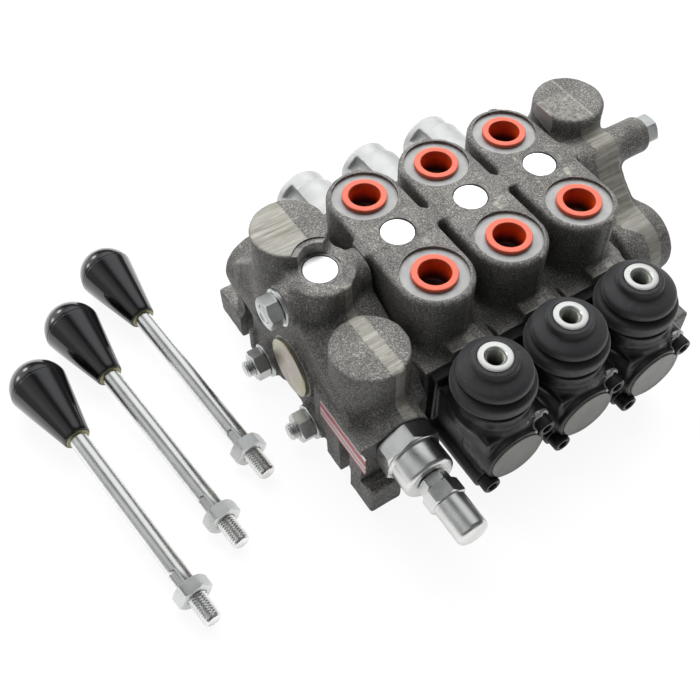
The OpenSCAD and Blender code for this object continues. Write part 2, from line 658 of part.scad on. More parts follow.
module lever_locknut(i) color([0.74, 0.75, 0.76]) lay_lever(i) difference() {
  intersection() {
    translate([0, 0, nut_start]) rotate([0, 0, 30]) cylinder(r = 9.81, h = nut_h, $fn = 6);
    translate([0, 0, nut_start]) cylinder(r1 = 9, r2 = 17, h = nut_h);
    translate([0, 0, nut_start]) cylinder(r1 = 17, r2 = 9, h = nut_h);
  }
  translate([0, 0, nut_rest - 11]) cylinder(r = lever_thread_r + gap, h = 22);
}
module lever_locknut_1() lever_locknut(0);
module lever_locknut_2() lever_locknut(1);
module lever_locknut_3() lever_locknut(2);

inlet_section();
work_section_1();
work_section_2();
work_section_3();
outlet_section();
section_seals();
tie_rods();
tie_rod_nuts();
tie_rod_washers();
inlet_end_plug();
label_plate();
port_plugs();
core_plugs();
check_poppet_1();
check_poppet_2();
check_poppet_3();
check_springs();
relief_body();
relief_locknut();
relief_cap_nut();
relief_adjusting_screw();
relief_poppet();
relief_spring();
spool_1();
spool_2();
spool_3();
spool_seals();
spool_end_screw_1();
spool_end_screw_2();
spool_end_screw_3();
return_spring_1();
return_spring_2();
return_spring_3();
spring_seats();
spring_cap_1();
spring_cap_2();
spring_cap_3();
spring_cap_screws();
lever_box_1();
lever_box_2();
lever_box_3();
lever_box_covers();
lever_box_screws();
pivot_pins();
lever_hub_1();
lever_hub_2();
lever_hub_3();
bellows_1();
bellows_2();
bellows_3();
lever_rod_1();
lever_rod_2();
lever_rod_3();
lever_knob_1();
lever_knob_2();
lever_knob_3();
lever_locknut_1();
lever_locknut_2();
lever_locknut_3();
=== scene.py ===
import bpy, math
import numpy as np
from mathutils import Vector, Matrix


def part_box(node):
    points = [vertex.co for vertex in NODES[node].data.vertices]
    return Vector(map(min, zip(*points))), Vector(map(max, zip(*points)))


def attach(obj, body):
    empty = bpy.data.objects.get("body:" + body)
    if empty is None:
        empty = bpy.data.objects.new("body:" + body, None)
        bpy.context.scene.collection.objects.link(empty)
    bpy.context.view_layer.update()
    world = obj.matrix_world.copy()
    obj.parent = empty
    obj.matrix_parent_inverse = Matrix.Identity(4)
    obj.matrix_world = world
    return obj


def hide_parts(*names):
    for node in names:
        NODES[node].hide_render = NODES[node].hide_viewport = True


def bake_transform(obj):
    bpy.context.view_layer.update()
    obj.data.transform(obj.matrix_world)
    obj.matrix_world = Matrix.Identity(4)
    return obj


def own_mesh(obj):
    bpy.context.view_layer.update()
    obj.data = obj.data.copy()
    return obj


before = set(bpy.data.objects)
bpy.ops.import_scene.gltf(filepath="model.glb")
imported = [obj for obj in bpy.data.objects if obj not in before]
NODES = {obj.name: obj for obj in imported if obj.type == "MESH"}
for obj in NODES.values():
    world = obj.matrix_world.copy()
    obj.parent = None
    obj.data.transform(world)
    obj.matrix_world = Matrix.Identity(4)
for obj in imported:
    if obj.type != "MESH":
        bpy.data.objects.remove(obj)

scene = bpy.context.scene
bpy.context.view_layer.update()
MM = 0.001
SEG = 96
SX = [-46.0, 0.0, 46.0]
STACK = "valve_stack"

# =====================================================================
# node graph helper
# =====================================================================
class NG:
    def __init__(self, name):
        self.mat = bpy.data.materials.new(name)
        self.mat.use_nodes = True
        self.t = self.mat.node_tree
        self.t.nodes.clear()
        self.out = self.t.nodes.new("ShaderNodeOutputMaterial")
        self.b = self.t.nodes.new("ShaderNodeBsdfPrincipled")
        self.t.links.new(self.b.outputs[0], self.out.inputs[0])
        self.tc = self.t.nodes.new("ShaderNodeTexCoord")
        self.obj = self.tc.outputs["Object"]

    def put(self, sock, v):
        if hasattr(v, "is_output") or isinstance(v, bpy.types.NodeSocket):
            self.t.links.new(v, sock)
        elif isinstance(v, (int, float)):
            sock.default_value = v
        else:
            v = list(v)
            if sock.type == "RGBA" and len(v) == 3:
                v = v + [1.0]
            sock.default_value = v

    def set(self, **kw):
        for k, v in kw.items():
            self.put(self.b.inputs[k.replace("_", " ")], v)

    def noise(self, scale, detail=3.0, rough=0.55, vec=None, dist=0.0):
        n = self.t.nodes.new("ShaderNodeTexNoise")
        self.put(n.inputs["Vector"], vec if vec is not None else self.obj)
        n.inputs["Scale"].default_value = scale
        n.inputs["Detail"].default_value = detail
        n.inputs["Roughness"].default_value = rough
        n.inputs["Distortion"].default_value = dist
        return n.outputs["Fac"]

    def voronoi(self, scale, vec=None, feature="F1", rand=1.0, out="Distance"):
        n = self.t.nodes.new("ShaderNodeTexVoronoi")
        n.feature = feature
        self.put(n.inputs["Vector"], vec if vec is not None else self.obj)
        n.inputs["Scale"].default_value = scale
        n.inputs["Randomness"].default_value = rand
        return n.outputs[out]

    def wave(self, scale, vec=None, dist=0.0, detail=2.0, dscale=1.0, kind="BANDS", direction="X"):
        n = self.t.nodes.new("ShaderNodeTexWave")
        n.wave_type = kind
        if kind == "BANDS":
            n.bands_direction = direction
        else:
            n.rings_direction = direction
        self.put(n.inputs["Vector"], vec if vec is not None else self.obj)
        n.inputs["Scale"].default_value = scale
        n.inputs["Distortion"].default_value = dist
        n.inputs["Detail"].default_value = detail
        n.inputs["Detail Scale"].default_value = dscale
        return n.outputs["Fac"]

    def mapping(self, scale=(1, 1, 1), loc=(0, 0, 0), rot=(0, 0, 0), vec=None):
        n = self.t.nodes.new("ShaderNodeMapping")
        self.put(n.inputs["Vector"], vec if vec is not None else self.obj)
        n.inputs["Scale"].default_value = scale
        n.inputs["Location"].default_value = loc
        n.inputs["Rotation"].default_value = rot
        return n.outputs[0]

    def xyz(self, vec=None):
        n = self.t.nodes.new("ShaderNodeSeparateXYZ")
        self.put(n.inputs[0], vec if vec is not None else self.obj)
        return n.outputs

    def m(self, op, a, b=0.5, c=0.0, clamp=False):
        n = self.t.nodes.new("ShaderNodeMath")
        n.operation = op
        n.use_clamp = clamp
        self.put(n.inputs[0], a)
        self.put(n.inputs[1], b)
        self.put(n.inputs[2], c)
        return n.outputs[0]

    def rng(self, v, a, b, c=0.0, d=1.0, smooth=False):
        n = self.t.nodes.new("ShaderNodeMapRange")
        n.interpolation_type = "SMOOTHSTEP" if smooth else "LINEAR"
        n.clamp = True
        self.put(n.inputs["Value"], v)
        n.inputs["From Min"].default_value = a
        n.inputs["From Max"].default_value = b
        n.inputs["To Min"].default_value = c
        n.inputs["To Max"].default_value = d
        return n.outputs["Result"]

    def mix(self, f, a, b, mode="MIX"):
        n = self.t.nodes.new("ShaderNodeMix")
        n.data_type = "RGBA"
        n.blend_type = mode
        n.clamp_factor = True
        self.put(n.inputs[0], f)
        self.put(n.inputs[6], a)
        self.put(n.inputs[7], b)
        return n.outputs[2]

    def ramp(self, f, stops):
        n = self.t.nodes.new("ShaderNodeValToRGB")
        self.put(n.inputs[0], f)
        e = n.color_ramp.elements
        while len(e) < len(stops):
            e.new(0.5)
        for i, (p, c) in enumerate(stops):
            e[i].position = p
            e[i].color = (*c, 1.0) if not isinstance(c, (int, float)) else (c, c, c, 1.0)
        return n.outputs[0]

    def bump(self, h, strength=1.0, dist=0.0001, normal=None):
        n = self.t.nodes.new("ShaderNodeBump")
        n.inputs["Strength"].default_value = strength
        n.inputs["Distance"].default_value = dist
        self.put(n.inputs["Height"], h)
        if normal is not None:
            self.put(n.inputs["Normal"], normal)
        return n.outputs[0]

    def attr(self, name):
        n = self.t.nodes.new("ShaderNodeAttribute")
        n.attribute_name = name
        return n.outputs["Fac"]

    def geo(self, what):
        n = self.t.nodes.new("ShaderNodeNewGeometry")
        return n.outputs[what]


# =====================================================================
# materials
# =====================================================================
def mat_casting():
    g = NG("phosphated_cast_iron")
    fine = g.noise(1900, 2.0, 0.6)
    mid = g.noise(980, 3.0, 0.62)
    big = g.noise(60, 4.0, 0.55)
    grain = g.m("ADD", g.m("MULTIPLY", fine, 0.55), g.m("MULTIPLY", mid, 0.45))
    col = g.ramp(grain, [(0.36, (0.040, 0.039, 0.038)), (0.46, (0.082, 0.080, 0.077)), (0.54, (0.135, 0.132, 0.127)), (0.64, (0.32, 0.315, 0.305))])
    dirt = g.ramp(big, [(0.3, (0.62, 0.61, 0.60)), (0.7, (1.08, 1.06, 1.02))])
    col = g.mix(1.0, col, dirt, "MULTIPLY")
    # worn, lighter edges, and painted shade darkening the hollows
    pt = g.geo("Pointiness")
    edge = g.rng(g.m("ADD", pt, g.m("MULTIPLY", g.m("SUBTRACT", mid, 0.5), 0.05)), 0.515, 0.56, smooth=True)
    col = g.mix(g.m("MULTIPLY", edge, 0.35), col, (0.24, 0.235, 0.225))
    painted_hollow_shade = g.rng(pt, 0.485, 0.44, smooth=True)
    col = g.mix(g.m("MULTIPLY", painted_hollow_shade, 0.6), col, (0.018, 0.018, 0.018))
    # ground parting line bands, striped across by the grinding wheel
    f = g.attr("flash")
    fm = g.rng(g.m("ADD", f, g.m("MULTIPLY", g.m("SUBTRACT", g.noise(420, 3, 0.6), 0.5), 0.75)), 0.36, 0.58, smooth=True)
    sv = g.mapping(scale=(90, 1500, 1500))
    st = g.noise(1.0, 3.0, 0.55, vec=sv)
    sv2 = g.mapping(scale=(25, 420, 420))
    st2 = g.noise(1.0, 2.0, 0.5, vec=sv2)
    stc = g.ramp(g.m("ADD", g.m("MULTIPLY", st, 0.5), g.m("MULTIPLY", st2, 0.5)),
                 [(0.36, (0.115, 0.108, 0.088)), (0.50, (0.185, 0.178, 0.152)), (0.66, (0.275, 0.27, 0.242))])
    col = g.mix(g.m("MULTIPLY", fm, 0.92), col, stc)
    rough = g.rng(grain, 0.3, 0.7, 0.74, 0.46)
    rough = g.m("MULTIPLY_ADD", fm, g.m("SUBTRACT", 0.50, rough), rough)
    h = g.m("ADD", g.m("MULTIPLY", grain, 1.0), g.m("MULTIPLY", g.noise(330, 3, 0.5), 0.7))
    h = g.m("MULTIPLY", h, g.m("MULTIPLY_ADD", fm, -0.85, 1.0))
    h = g.m("ADD", h, g.m("MULTIPLY", g.m("MULTIPLY", st, fm), 0.35))
    g.set(Base_Color=col, Roughness=rough, Metallic=0.18, Normal=g.bump(h, 0.62, 0.00024))
    g.b.inputs["Specular IOR Level"].default_value = 0.6
    return g.mat


def mat_machined():
    g = NG("machined_iron")
    n = g.noise(1400, 3, 0.55)
    b = g.noise(120, 3, 0.5)
    speck = g.rng(g.noise(1700, 1.5, 0.5), 0.30, 0.36, smooth=True)
    col = g.ramp(b, [(0.3, (0.215, 0.215, 0.215)), (0.7, (0.27, 0.27, 0.265))])
    col = g.mix(g.m("MULTIPLY", g.m("SUBTRACT", 1.0, speck), 0.6), col, (0.16, 0.16, 0.16))
    g.set(Base_Color=col, Roughness=g.rng(n, 0.3, 0.7, 0.44, 0.58), Metallic=0.35, Normal=g.bump(n, 0.25, 0.00006))
    return g.mat


def mat_bore():
    g = NG("bored_iron")
    n = g.noise(1.0, 3, 0.5, vec=g.mapping(scale=(400, 400, 3000)))
    g.set(Base_Color=g.ramp(n, [(0.3, (0.05, 0.05, 0.05)), (0.7, (0.13, 0.13, 0.13))]), Roughness=0.45, Metallic=0.6,
          Normal=g.bump(n, 0.4, 0.0001))
    return g.mat


def mat_plug():
    g = NG("orange_transport_plug")
    n = g.noise(180, 3, 0.5)
    fine = g.noise(2600, 2, 0.5)
    z = g.xyz()[2]
    rim = g.ramp(n, [(0.25, (0.40, 0.062, 0.032)), (0.75, (0.48, 0.086, 0.048))])
    side = g.ramp(n, [(0.25, (0.42, 0.056, 0.014)), (0.75, (0.50, 0.074, 0.022))])
    inner = g.ramp(n, [(0.25, (0.42, 0.036, 0.002)), (0.75, (0.52, 0.050, 0.004))])
    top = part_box("core_plugs")[1][2]
    col = g.mix(g.rng(z, top - 0.0004, top + 0.0003, smooth=True), side, rim)
    col = g.mix(g.rng(z, top - 0.0018, top - 0.0024, smooth=True), col, inner)
    # painted shade: the bore colour darkens towards its floor
    col = g.mix(g.rng(g.m("ADD", z, g.m("MULTIPLY", g.m("SUBTRACT", n, 0.5), 0.003)), top - 0.0040, top - 0.0115, smooth=True), col, (0.020, 0.0032, 0.0016))
    g.set(Base_Color=col, Roughness=g.rng(n, 0.3, 0.7, 0.42, 0.56), Normal=g.bump(g.m("ADD", g.m("MULTIPLY", fine, 0.4), n), 0.18, 0.00012))
    g.b.inputs["Subsurface Weight"].default_value = 0.06
    g.b.inputs["Subsurface Radius"].default_value = (0.003, 0.0008, 0.0004)
    g.b.inputs["Subsurface Scale"].default_value = 0.5
    g.b.inputs["Coat Weight"].default_value = 0.35
    g.b.inputs["Coat Roughness"].default_value = 0.42
    return g.mat


def mat_bright():
    g = NG("bright_core_plug")
    n = g.noise(900, 3, 0.5)
    s = g.noise(1.0, 3, 0.5, vec=g.mapping(scale=(200, 3200, 3200), rot=(0, 0, 0.5)))
    g.set(Base_Color=g.ramp(n, [(0.3, (0.90, 0.90, 0.89)), (0.7, (0.95, 0.95, 0.94))]), Metallic=0.35,
          Roughness=g.rng(s, 0.3, 0.7, 0.26, 0.36), Normal=g.bump(s, 0.12, 0.00003))
    g.b.inputs["Specular IOR Level"].default_value = 0.8
    return g.mat


def mat_zinc(name="bright_zinc", tint=(0.74, 0.75, 0.74), dark=(0.52, 0.53, 0.52), r0=0.26, r1=0.44, bump=0.25):
    g = NG(name)
    big = g.noise(90, 4, 0.55)
    fine = g.noise(1900, 2, 0.6)
    scr = g.noise(1.0, 2, 0.6, vec=g.mapping(scale=(2600, 260, 700), rot=(0.3, 0.2, 0.6)))
    col = g.ramp(g.m("ADD", g.m("MULTIPLY", big, 0.7), g.m("MULTIPLY", fine, 0.3)), [(0.32, dark), (0.62, tint)])
    tarn = g.rng(g.noise(260, 3, 0.6), 0.60, 0.72, smooth=True)
    col = g.mix(g.m("MULTIPLY", tarn, 0.28), col, (0.50, 0.49, 0.42))
    rough = g.rng(g.m("ADD", g.m("MULTIPLY", big, 0.6), g.m("MULTIPLY", fine, 0.4)), 0.3, 0.7, r0, r1)
    g.set(Base_Color=col, Metallic=1.0, Roughness=rough, Normal=g.bump(g.m("ADD", fine, g.m("MULTIPLY", scr, 0.6)), bump, 0.00004))
    return g.mat


def mat_yellow():
    g = NG("yellow_zinc")
    a = g.noise(75, 3, 0.5)
    b = g.noise(130, 3, 0.5, vec=g.mapping(loc=(3, 1, 2)))
    fine = g.noise(1900, 2, 0.6)
    col = g.ramp(a, [(0.30, (0.34, 0.35, 0.19)), (0.48, (0.42, 0.39, 0.29)), (0.60, (0.43, 0.35, 0.33)), (0.75, (0.39, 0.37, 0.27))])
    col = g.mix(g.m("MULTIPLY", g.rng(b, 0.5, 0.7), 0.5), col, (0.58, 0.55, 0.50))
    g.set(Base_Color=col, Metallic=1.0, Roughness=g.rng(fine, 0.3, 0.7, 0.26, 0.40), Normal=g.bump(fine, 0.3, 0.00004))
    return g.mat


def mat_rubber():
    g = NG("moulded_black_rubber")
    fine = g.noise(2400, 2, 0.6)
    mid = g.noise(500, 3, 0.55)
    dust = g.rng(g.noise(1500, 2, 0.4), 0.66, 0.74, smooth=True)
    big = g.noise(70, 3, 0.5)
    col = g.ramp(big, [(0.3, (0.0085, 0.0085, 0.0094)), (0.7, (0.0140, 0.0140, 0.0152))])
    col = g.mix(g.m("MULTIPLY", dust, 0.22), col, (0.16, 0.16, 0.16))
    # a mould split line across the top fold
    s = g.attr("split")
    col = g.mix(g.m("MULTIPLY", s, 0.7), col, (0.003, 0.003, 0.003))
    h = g.m("ADD", g.m("MULTIPLY", fine, 0.35), g.m("MULTIPLY", mid, 0.35))
    h = g.m("SUBTRACT", h, g.m("MULTIPLY", s, 1.2))
    g.set(Base_Color=col, Roughness=g.rng(mid, 0.3, 0.7, 0.46, 0.60), Normal=g.bump(h, 0.35, 0.00016))
    g.b.inputs["Specular IOR Level"].default_value = 0.5
    g.b.inputs["Sheen Weight"].default_value = 0.12
    g.b.inputs["Sheen Roughness"].default_value = 0.5
    return g.mat


def mat_thread():
    g = NG("cut_thread_steel")
    n = g.noise(1400, 3, 0.5)
    z = g.xyz()[2]
    col = g.ramp(n, [(0.3, (0.30, 0.31, 0.26)), (0.7, (0.44, 0.45, 0.40))])
    # painted shade: the thread colour darkens deeper down into the hole
    col = g.mix(g.rng(z, 0.0855, 0.0745, smooth=True), col, (0.03, 0.03, 0.026))
    g.set(Base_Color=col, Metallic=0.75, Roughness=g.rng(n, 0.3, 0.7, 0.42, 0.58), Normal=g.bump(n, 0.3, 0.00005))
    return g.mat


def mat_seal():
    g = NG("nitrile_seal")
    n = g.noise(900, 3, 0.5)
    g.set(Base_Color=g.ramp(n, [(0.3, (0.010, 0.010, 0.011)), (0.7, (0.02, 0.02, 0.021))]), Roughness=0.5, Normal=g.bump(n, 0.3, 0.00008))
    return g.mat


def mat_box():
    g = NG("black_lever_box_paint")
    peel = g.noise(420, 3, 0.5)
    fine = g.noise(1700, 2, 0.6)
    big = g.noise(45, 4, 0.55)
    col = g.ramp(big, [(0.3, (0.0042, 0.0042, 0.0046)), (0.7, (0.0090, 0.0090, 0.0094))])
    speck = g.rng(fine, 0.66, 0.76, smooth=True)
    col = g.mix(g.m("MULTIPLY", speck, 0.25), col, (0.08, 0.075, 0.07))
    pt = g.geo("Pointiness")
    edge = g.rng(g.m("ADD", pt, g.m("MULTIPLY", g.m("SUBTRACT", peel, 0.5), 0.06)), 0.535, 0.60, smooth=True)
    col = g.mix(g.m("MULTIPLY", edge, 0.5), col, (0.15, 0.145, 0.135))
    f = g.attr("flash")
    wear = g.rng(g.m("ADD", f, g.m("MULTIPLY", g.m("SUBTRACT", g.noise(700, 3, 0.6), 0.5), 0.8)), 0.40, 0.62, smooth=True)
    col = g.mix(wear, col, (0.42, 0.42, 0.40))
    rough = g.rng(peel, 0.3, 0.7, 0.30, 0.46)
    g.set(Base_Color=col, Roughness=rough, Metallic=g.m("MULTIPLY", wear, 0.8),
          Normal=g.bump(g.m("ADD", peel, g.m("MULTIPLY", fine, 0.3)), 0.30, 0.00016))
    return g.mat


def mat_black_screw():
    g = NG("black_oxide_steel")
    n = g.noise(800, 3, 0.5)
    pt = g.geo("Pointiness")
    edge = g.rng(pt, 0.53, 0.60, smooth=True)
    col = g.ramp(n, [(0.3, (0.010, 0.010, 0.011)), (0.7, (0.020, 0.020, 0.021))])
    col = g.mix(g.m("MULTIPLY", edge, 0.35), col, (0.10, 0.10, 0.10))
    g.set(Base_Color=col, Metallic=0.5, Roughness=g.rng(n, 0.3, 0.7, 0.30, 0.42), Normal=g.bump(n, 0.2, 0.00006))
    return g.mat


def mat_alu(name, c0, c1, r0, r1, grain=0.5, metal=1.0):
    g = NG(name)
    fine = g.noise(2000, 2, 0.6)
    big = g.noise(80, 4, 0.5)
    spot = g.rng(g.noise(700, 2, 0.5), 0.70, 0.76, smooth=True)
    col = g.ramp(g.m("ADD", g.m("MULTIPLY", big, 0.6), g.m("MULTIPLY", fine, 0.4)), [(0.35, c0), (0.65, c1)])
    col = g.mix(g.m("MULTIPLY", spot, 0.5), col, (0.12, 0.12, 0.12))
    g.set(Base_Color=col, Metallic=metal, Roughness=g.rng(fine, 0.3, 0.7, r0, r1),
          Normal=g.bump(g.m("ADD", fine, g.m("MULTIPLY", big, 0.8)), grain, 0.00008))
    return g.mat


def mat_knob():
    g = NG("polished_black_phenolic")
    n = g.noise(35, 3, 0.5)
    dust = g.rng(g.noise(2300, 1.5, 0.4), 0.74, 0.79, smooth=True)
    col = g.mix(g.m("MULTIPLY", dust, 0.25), (0.0035, 0.0035, 0.004), (0.09, 0.09, 0.09))
    g.set(Base_Color=col, Roughness=g.rng(n, 0.3, 0.7, 0.10, 0.17), Normal=g.bump(n, 0.15, 0.0004))
    g.b.inputs["Coat Weight"].default_value = 0.75
    g.b.inputs["Coat Roughness"].default_value = 0.03
    g.b.inputs["Specular IOR Level"].default_value = 0.36
    return g.mat


def mat_brass():
    g = NG("knob_insert")
    n = g.noise(900, 3, 0.5)
    g.set(Base_Color=g.ramp(n, [(0.3, (0.15, 0.14, 0.07)), (0.7, (0.33, 0.31, 0.19))]), Metallic=1.0, Roughness=g.rng(n, 0.3, 0.7, 0.3, 0.45),
          Normal=g.bump(n, 0.2, 0.00004))
    return g.mat


def mat_label():
    g = NG("striped_label_strip")
    x = g.xyz()
    z = x[2]
    # stripes along the strip: a white field, a red band and thin red rules
    zz = g.m("MULTIPLY", g.m("SUBTRACT", z, 0.033), 1.0 / 0.014)
    jag = g.m("MULTIPLY", g.m("SUBTRACT", g.noise(900, 2, 0.5), 0.5), 0.035)
    zz = g.m("ADD", zz, jag)
    stripes = g.ramp(zz, [(0.0, (0.66, 0.10, 0.11)), (0.10, (0.66, 0.10, 0.11)), (0.13, (0.85, 0.80, 0.80)), (0.27, (0.85, 0.80, 0.80)), (0.30, (0.70, 0.16, 0.17)), (0.38, (0.70, 0.16, 0.17)), (0.41, (0.86, 0.80, 0.80)), (0.58, (0.86, 0.80, 0.80)), (0.61, (0.62, 0.06, 0.08)), (0.90, (0.62, 0.06, 0.08)), (0.93, (0.88, 0.80, 0.81)), (1.0, (0.88, 0.80, 0.81))])
    wear = g.rng(g.noise(240, 4, 0.6), 0.50, 0.68, smooth=True)
    col = g.mix(g.m("MULTIPLY", wear, 0.4), stripes, (0.62, 0.50, 0.50))
    col = g.mix(1.0, col, (0.62, 0.62, 0.62), "MULTIPLY")
    g.set(Base_Color=col, Roughness=0.44, Normal=g.bump(g.noise(300, 3, 0.5), 0.1, 0.0002))
    return g.mat


def mat_ground():
    g = NG("ground_steel")
    n = g.noise(1.0, 3, 0.5, vec=g.mapping(scale=(1500, 200, 1500)))
    g.set(Base_Color=g.ramp(n, [(0.3, (0.42, 0.42, 0.43)), (0.7, (0.56, 0.56, 0.57))]), Metallic=1.0, Roughness=g.rng(n, 0.3, 0.7, 0.16, 0.28),
          Normal=g.bump(n, 0.15, 0.00003))
    return g.mat


def mat_spring():
    g = NG("oiled_spring_wire")
    n = g.noise(1200, 3, 0.5)
    g.set(Base_Color=g.ramp(n, [(0.3, (0.20, 0.20, 0.21)), (0.7, (0.34, 0.34, 0.36))]), Metallic=1.0, Roughness=g.rng(n, 0.3, 0.7, 0.22, 0.36),
          Normal=g.bump(n, 0.2, 0.00003))
    return g.mat


M = {
    "casting": mat_casting(), "machined": mat_machined(), "bore": mat_bore(), "plug": mat_plug(), "bright": mat_bright(),
    "zinc": mat_zinc(), "zinc_polished": mat_zinc("polished_zinc", (0.76, 0.765, 0.75), (0.60, 0.605, 0.59), 0.24, 0.38, 0.14),
    "zinc_hub": mat_zinc("passivated_hub_zinc", (0.97, 0.97, 0.94), (0.86, 0.87, 0.83), 0.30, 0.44, 0.12),
    "rod": mat_zinc("drawn_rod_zinc", (0.86, 0.865, 0.85), (0.74, 0.745, 0.73), 0.24, 0.33, 0.06),
    "yellow": mat_yellow(), "rubber": mat_rubber(), "seal": mat_seal(), "box": mat_box(), "screw": mat_black_screw(),
    "cap": mat_alu("die_cast_cap", (0.44, 0.445, 0.44), (0.58, 0.585, 0.58), 0.40, 0.56, 0.35, 0.70),
    "cover": mat_alu("stamped_cover", (0.160, 0.164, 0.150), (0.205, 0.209, 0.192), 0.40, 0.54, 0.35, 0.80),
    "knob": mat_knob(), "cut_thread": mat_thread(), "brass": mat_brass(), "label": mat_label(), "ground": mat_ground(), "spring": mat_spring(),
}

# =====================================================================
# geometry helpers, all in millimetres
# =====================================================================
class Geo:
    """Collects closed shells, then makes one object."""
    def __init__(self):
        self.V, self.F, self.m, self.n = [], [], [], 0

    def add(self, vf, mtx=None, mat=0):
        V, F = vf
        V = np.asarray(V, float)
        if mtx is not None:
            a = np.array(mtx)
            V = V @ a[:3, :3].T + a[:3, 3]
        self.V.append(V)
        self.F += [tuple(int(i) + self.n for i in f) for f in F]
        self.m += [mat] * len(F)
        self.n += len(V)
        return self

    def obj(self, name, mats, body=None, slot=None, rep=(), sharp=38, blend=False):
        me = bpy.data.meshes.new(name)
        me.from_pydata((np.concatenate(self.V) * MM).tolist(), [], self.F)
        for mt in mats:
            me.materials.append(M[mt])
        me.polygons.foreach_set("material_index", np.array(self.m, np.int32))
        me.polygons.foreach_set("use_smooth", np.ones(len(me.polygons), bool))
        me.update()
        me.set_sharp_from_angle(angle=math.radians(sharp))
        o = bpy.data.objects.new(name, me)
        scene.collection.objects.link(o)
        return place(o, body, rep)


def place(o, body=None, rep=()):
    if body is not None:
        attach(o, body)
    if rep:
        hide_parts(*rep)
    return o


def rnd(pts, r, n=4):
    """Rounds the inner corners of an open polyline; r is one radius or one for each point."""
    pts = [np.array(p, float) for p in pts]
    out = [pts[0]]
    for i in range(1, len(pts) - 1):
        ri = r[i] if isinstance(r, (list, tuple)) else r
        a, p, b = pts[i - 1], pts[i], pts[i + 1]
        la, lb = np.linalg.norm(a - p), np.linalg.norm(b - p)
        if ri <= 0 or la < 1e-6 or lb < 1e-6:
            out.append(p)
            continue
        u, v = (a - p) / la, (b - p) / lb
        ang = math.acos(max(-1, min(1, float(u @ v))))
        if ang > 3.08:
            out.append(p)
            continue
        t = min(ri / max(math.tan(ang / 2), 1e-3), 0.48 * la, 0.48 * lb)
        A, B = p + u * t, p + v * t
        for k in range(n + 1):
            s = k / n
            out.append((1 - s) ** 2 * A + 2 * s * (1 - s) * p + s * s * B)
    out.append(pts[-1])
    return [tuple(q) for q in out]


def lathe(prof, seg=None, closed=False):
    """Revolves (radius, height) points about Z. Points at radius 0 become poles."""
    seg = seg or SEG
    V, rings = [], []
    for r, z in prof:
        if r < 1e-6:
            rings.append([len(V)])
            V.append((0, 0, z))
        else:
            rings.append(list(range(len(V), len(V) + seg)))
            for k in range(seg):
                a = 2 * math.pi * k / seg
                V.append((r * math.cos(a), r * math.sin(a), z))
    F = []
    pairs = list(zip(rings[:-1], rings[1:]))
    if closed:
        pairs.append((rings[-1], rings[0]))
    for A, B in pairs:
        for k in range(seg):
            k2 = (k + 1) % seg
            if len(A) == 1 and len(B) == 1:
                continue
            if len(A) == 1:
                F.append((A[0], B[k2], B[k]))
            elif len(B) == 1:
                F.append((A[k], A[k2], B[0]))
            else:
                F.append((A[k], A[k2], B[k2], B[k]))
    return V, F


def rings(rs, seg, closed=False):
    """Stack of rings; each is (radius, height), scalar or per-angle array; radius None means a pole."""
    V, R = [], []
    th = 2 * np.pi * np.arange(seg) / seg
    for r, z in rs:
        if r is None:
            R.append([len(V)])
            V.append((0, 0, float(z)))
            continue
        r = np.broadcast_to(np.asarray(r, float), (seg,))
        z = np.broadcast_to(np.asarray(z, float), (seg,))
        R.append(list(range(len(V), len(V) + seg)))
        for k in range(seg):
            V.append((r[k] * math.cos(th[k]), r[k] * math.sin(th[k]), z[k]))
    F = []
    pairs = list(zip(R[:-1], R[1:]))
    if closed:
        pairs.append((R[-1], R[0]))
    for A, B in pairs:
        for k in range(seg):
            k2 = (k + 1) % seg
            if len(A) == 1:
                F.append((A[0], B[k2], B[k]))
            elif len(B) == 1:
                F.append((A[k], A[k2], B[0]))
            else:
                F.append((A[k], A[k2], B[k2], B[k]))
    return V, F


def hexr(rc, seg, soft=0.992):
    th = 2 * np.pi * np.arange(seg) / seg
    a = rc * math.cos(math.pi / 6)
    ph = np.mod(th, math.pi / 3) - math.pi / 6
    return np.minimum(a / np.cos(ph), rc * soft)


def hexnut(rc, h, bore, seg=96, face=0.955, k=0.55, cut=0.7):
    """Nut with the curved corner chamfers a 30 degree cone leaves, from z 0 to h."""
    R = hexr(rc, seg)
    r0 = rc * math.cos(math.pi / 6) * face
    d = k * np.maximum(R - r0, 0)
    rs = [(bore, cut), (bore + cut, 0.0), (r0, 0.0), (R, d), (R, h - d), (r0, h), (bore + cut, h), (bore, h - cut)]
    return rings(rs, seg, closed=True)


def thread(r, pitch, z0, z1, depth=None, seg=64, ch0=0.0, ch1=0.8, tail=0.0):
    """Closed round bar with a helical V thread from z0 to z1; tail keeps a plain run at the z0 end."""
    depth = depth or 0.6 * pitch
    n = max(4, int((z1 - z0) / pitch * 9))
    th = 2 * np.pi * np.arange(seg) / seg
    rs = [(None, z0)]
    for i in range(n + 1):
        z = z0 + (z1 - z0) * i / n
        ph = np.mod(z / pitch - th / (2 * np.pi), 1.0)
        tri = 1 - np.abs(2 * ph - 1)
        tri = np.clip((tri - 0.12) / 0.72, 0, 1)
        w = min(1.0, max(0.0, (z - z0 - tail) / (0.8 * pitch)))
        rr = r - depth * (1 - tri) * w
        lim = r
        if ch1 > 0:
            lim = min(lim, r - depth * 1.05 * max(0, 1 - (z1 - z) / ch1))
        if ch0 > 0:
            lim = min(lim, r - depth * max(0, 1 - (z - z0) / ch0))
        rs.append((np.minimum(rr, lim), z))
    rs.append((r - depth * 1.05 - 0.25, z1 + 0.12))
    rs.append((None, z1 + 0.16))
    return rings(rs, seg)


